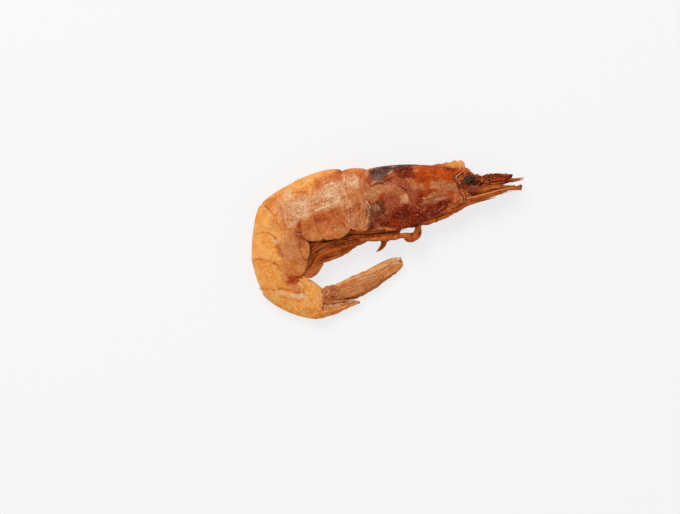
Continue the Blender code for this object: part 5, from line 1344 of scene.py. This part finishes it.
# The two colours of each tint on the shell, on the limbs, and on the eyes
SHELL_TINTS = {
    "amber": ("#E8AB61", "#E28E3D"),
    "tan": ("#B87349", "#A35B34"),
    "plum": ("#A04A2E", "#8C381E"),
    "rust": ("#B84A0A", "#9A3200"),
    "umber": ("#803820", "#5A2010"),
    "wine": ("#862000", "#5E0E00"),
    "char": ("#76504A", "#261210"),
    "chalk": ("#DFB792", "#D0986E"),
}
LIMB_TINTS = {
    "amber": ("#E09440", "#CC7424"),
    "tan": ("#C0744A", "#A85C34"),
    "plum": ("#8E4432", "#763226"),
    "rust": ("#C25A18", "#A23E08"),
    "umber": ("#863C16", "#66260C"),
    "wine": ("#8A2402", "#6A1400"),
    "char": ("#4E302C", "#2A1210"),
    "chalk": ("#E4A678", "#D08A54"),
}
EYE_TINTS = {"plum": ("#644238", "#4C2C24"), "chalk": ("#947068", "#704E46")}


def build():
    """Makes every piece of the animal."""
    shell = dried_skin("dried_shell", base=("#CE7E48", "#BA6230"), tints=SHELL_TINTS, roughness=(0.42, 0.62),
                       grain_mm=0.32, dent_mm=0.05)
    limb = dried_skin("dried_limb", base=("#C46828", "#A64E18"), tints=LIMB_TINTS, roughness=(0.4, 0.6),
                      grain_mm=0.24, dent_mm=0.04)
    eye = dried_skin("dried_eye", base=("#2C1D17", "#17100D"), tints=EYE_TINTS, roughness=(0.32, 0.55),
                     grain_mm=0.2, dent_mm=0.05, glow=0.0)  # nearly black and a little glossier, for its pigment
    for name, plate in RINGS.items():
        plate_skin(name, plate, shell)
    plate_skin("carapace", CARAPACE, shell)
    make_head_front(shell)
    make_rostrum(shell)
    make_telson(shell)
    make_tangle(limb)
    make_mouthparts(limb)
    for side in (1, -1):
        make_eye(side, eye)
        make_antennule(side, limb)
        make_antenna(side, limb)
        make_antennal_scale(side, limb)
        make_maxilliped(side, limb)
        for number in LEGS:
            make_leg(number, side, limb)
        make_hooked_leg(side, limb)
        for number in PLEOPODS:
            make_pleopod(number, side, limb)
        make_uropod_base(side, shell)
        make_uropod_blades(side, shell)


# The floor, the light and the camera

def make_floor():
    """A table top of opal acrylic, lit from below, which is why the animal hardly throws a shadow."""
    bpy.ops.mesh.primitive_plane_add(size=3.0, location=(0, 0, -0.00002))
    floor = bpy.context.object
    floor.name = "opal_table"
    opal = bpy.data.materials.new("opal_acrylic")
    opal.use_nodes = True
    shader = opal.node_tree.nodes["Principled BSDF"]
    shader.inputs["Base Color"].default_value = linear("#787878")
    shader.inputs["Roughness"].default_value = 0.9
    shader.inputs["Specular IOR Level"].default_value = 0.1
    shader.inputs["Emission Color"].default_value = linear("#FFFFFF")
    shader.inputs["Emission Strength"].default_value = TABLE_GLOW
    floor.data.materials.append(opal)


def make_light():
    """An even white surround, and one large soft box over the animal's back that models the folds."""
    world = bpy.data.worlds.new("surround")
    world.use_nodes = True
    bpy.context.scene.world = world
    world.node_tree.nodes["Background"].inputs["Color"].default_value = linear("#FFFFFF")
    world.node_tree.nodes["Background"].inputs["Strength"].default_value = SURROUND
    light = bpy.data.lights.new("over_back", "AREA")
    light.shape, light.size, light.energy = "SQUARE", KEY_SIZE, KEY_POWER
    lamp = bpy.data.objects.new("over_back", light)
    bpy.context.scene.collection.objects.link(lamp)
    lamp.location = KEY_PLACE
    lamp.rotation_mode = "QUATERNION"
    lamp.rotation_quaternion = (-KEY_PLACE).to_track_quat("-Z", "Y")
    bpy.context.scene.view_settings.view_transform = "Standard"


def make_camera():
    """Straight down through a long lens, with the animal a little to the right of the middle and above it."""
    camera = bpy.data.cameras.new("overhead")
    camera.sensor_width = SENSOR_MM
    camera.lens = SENSOR_MM * (CAMERA_HEIGHT - ANIMAL_MIDDLE) / FRAME_WIDTH
    camera.clip_start, camera.clip_end = 0.01, 10
    holder = bpy.data.objects.new("overhead", camera)
    bpy.context.scene.collection.objects.link(holder)
    holder.location = (np.array((*FRAME_CENTRE, 0)) - FOOTPRINT_MIDDLE) * MM + UP * CAMERA_HEIGHT
    bpy.context.scene.camera = holder


make_camera()
make_light()
make_floor()
build()
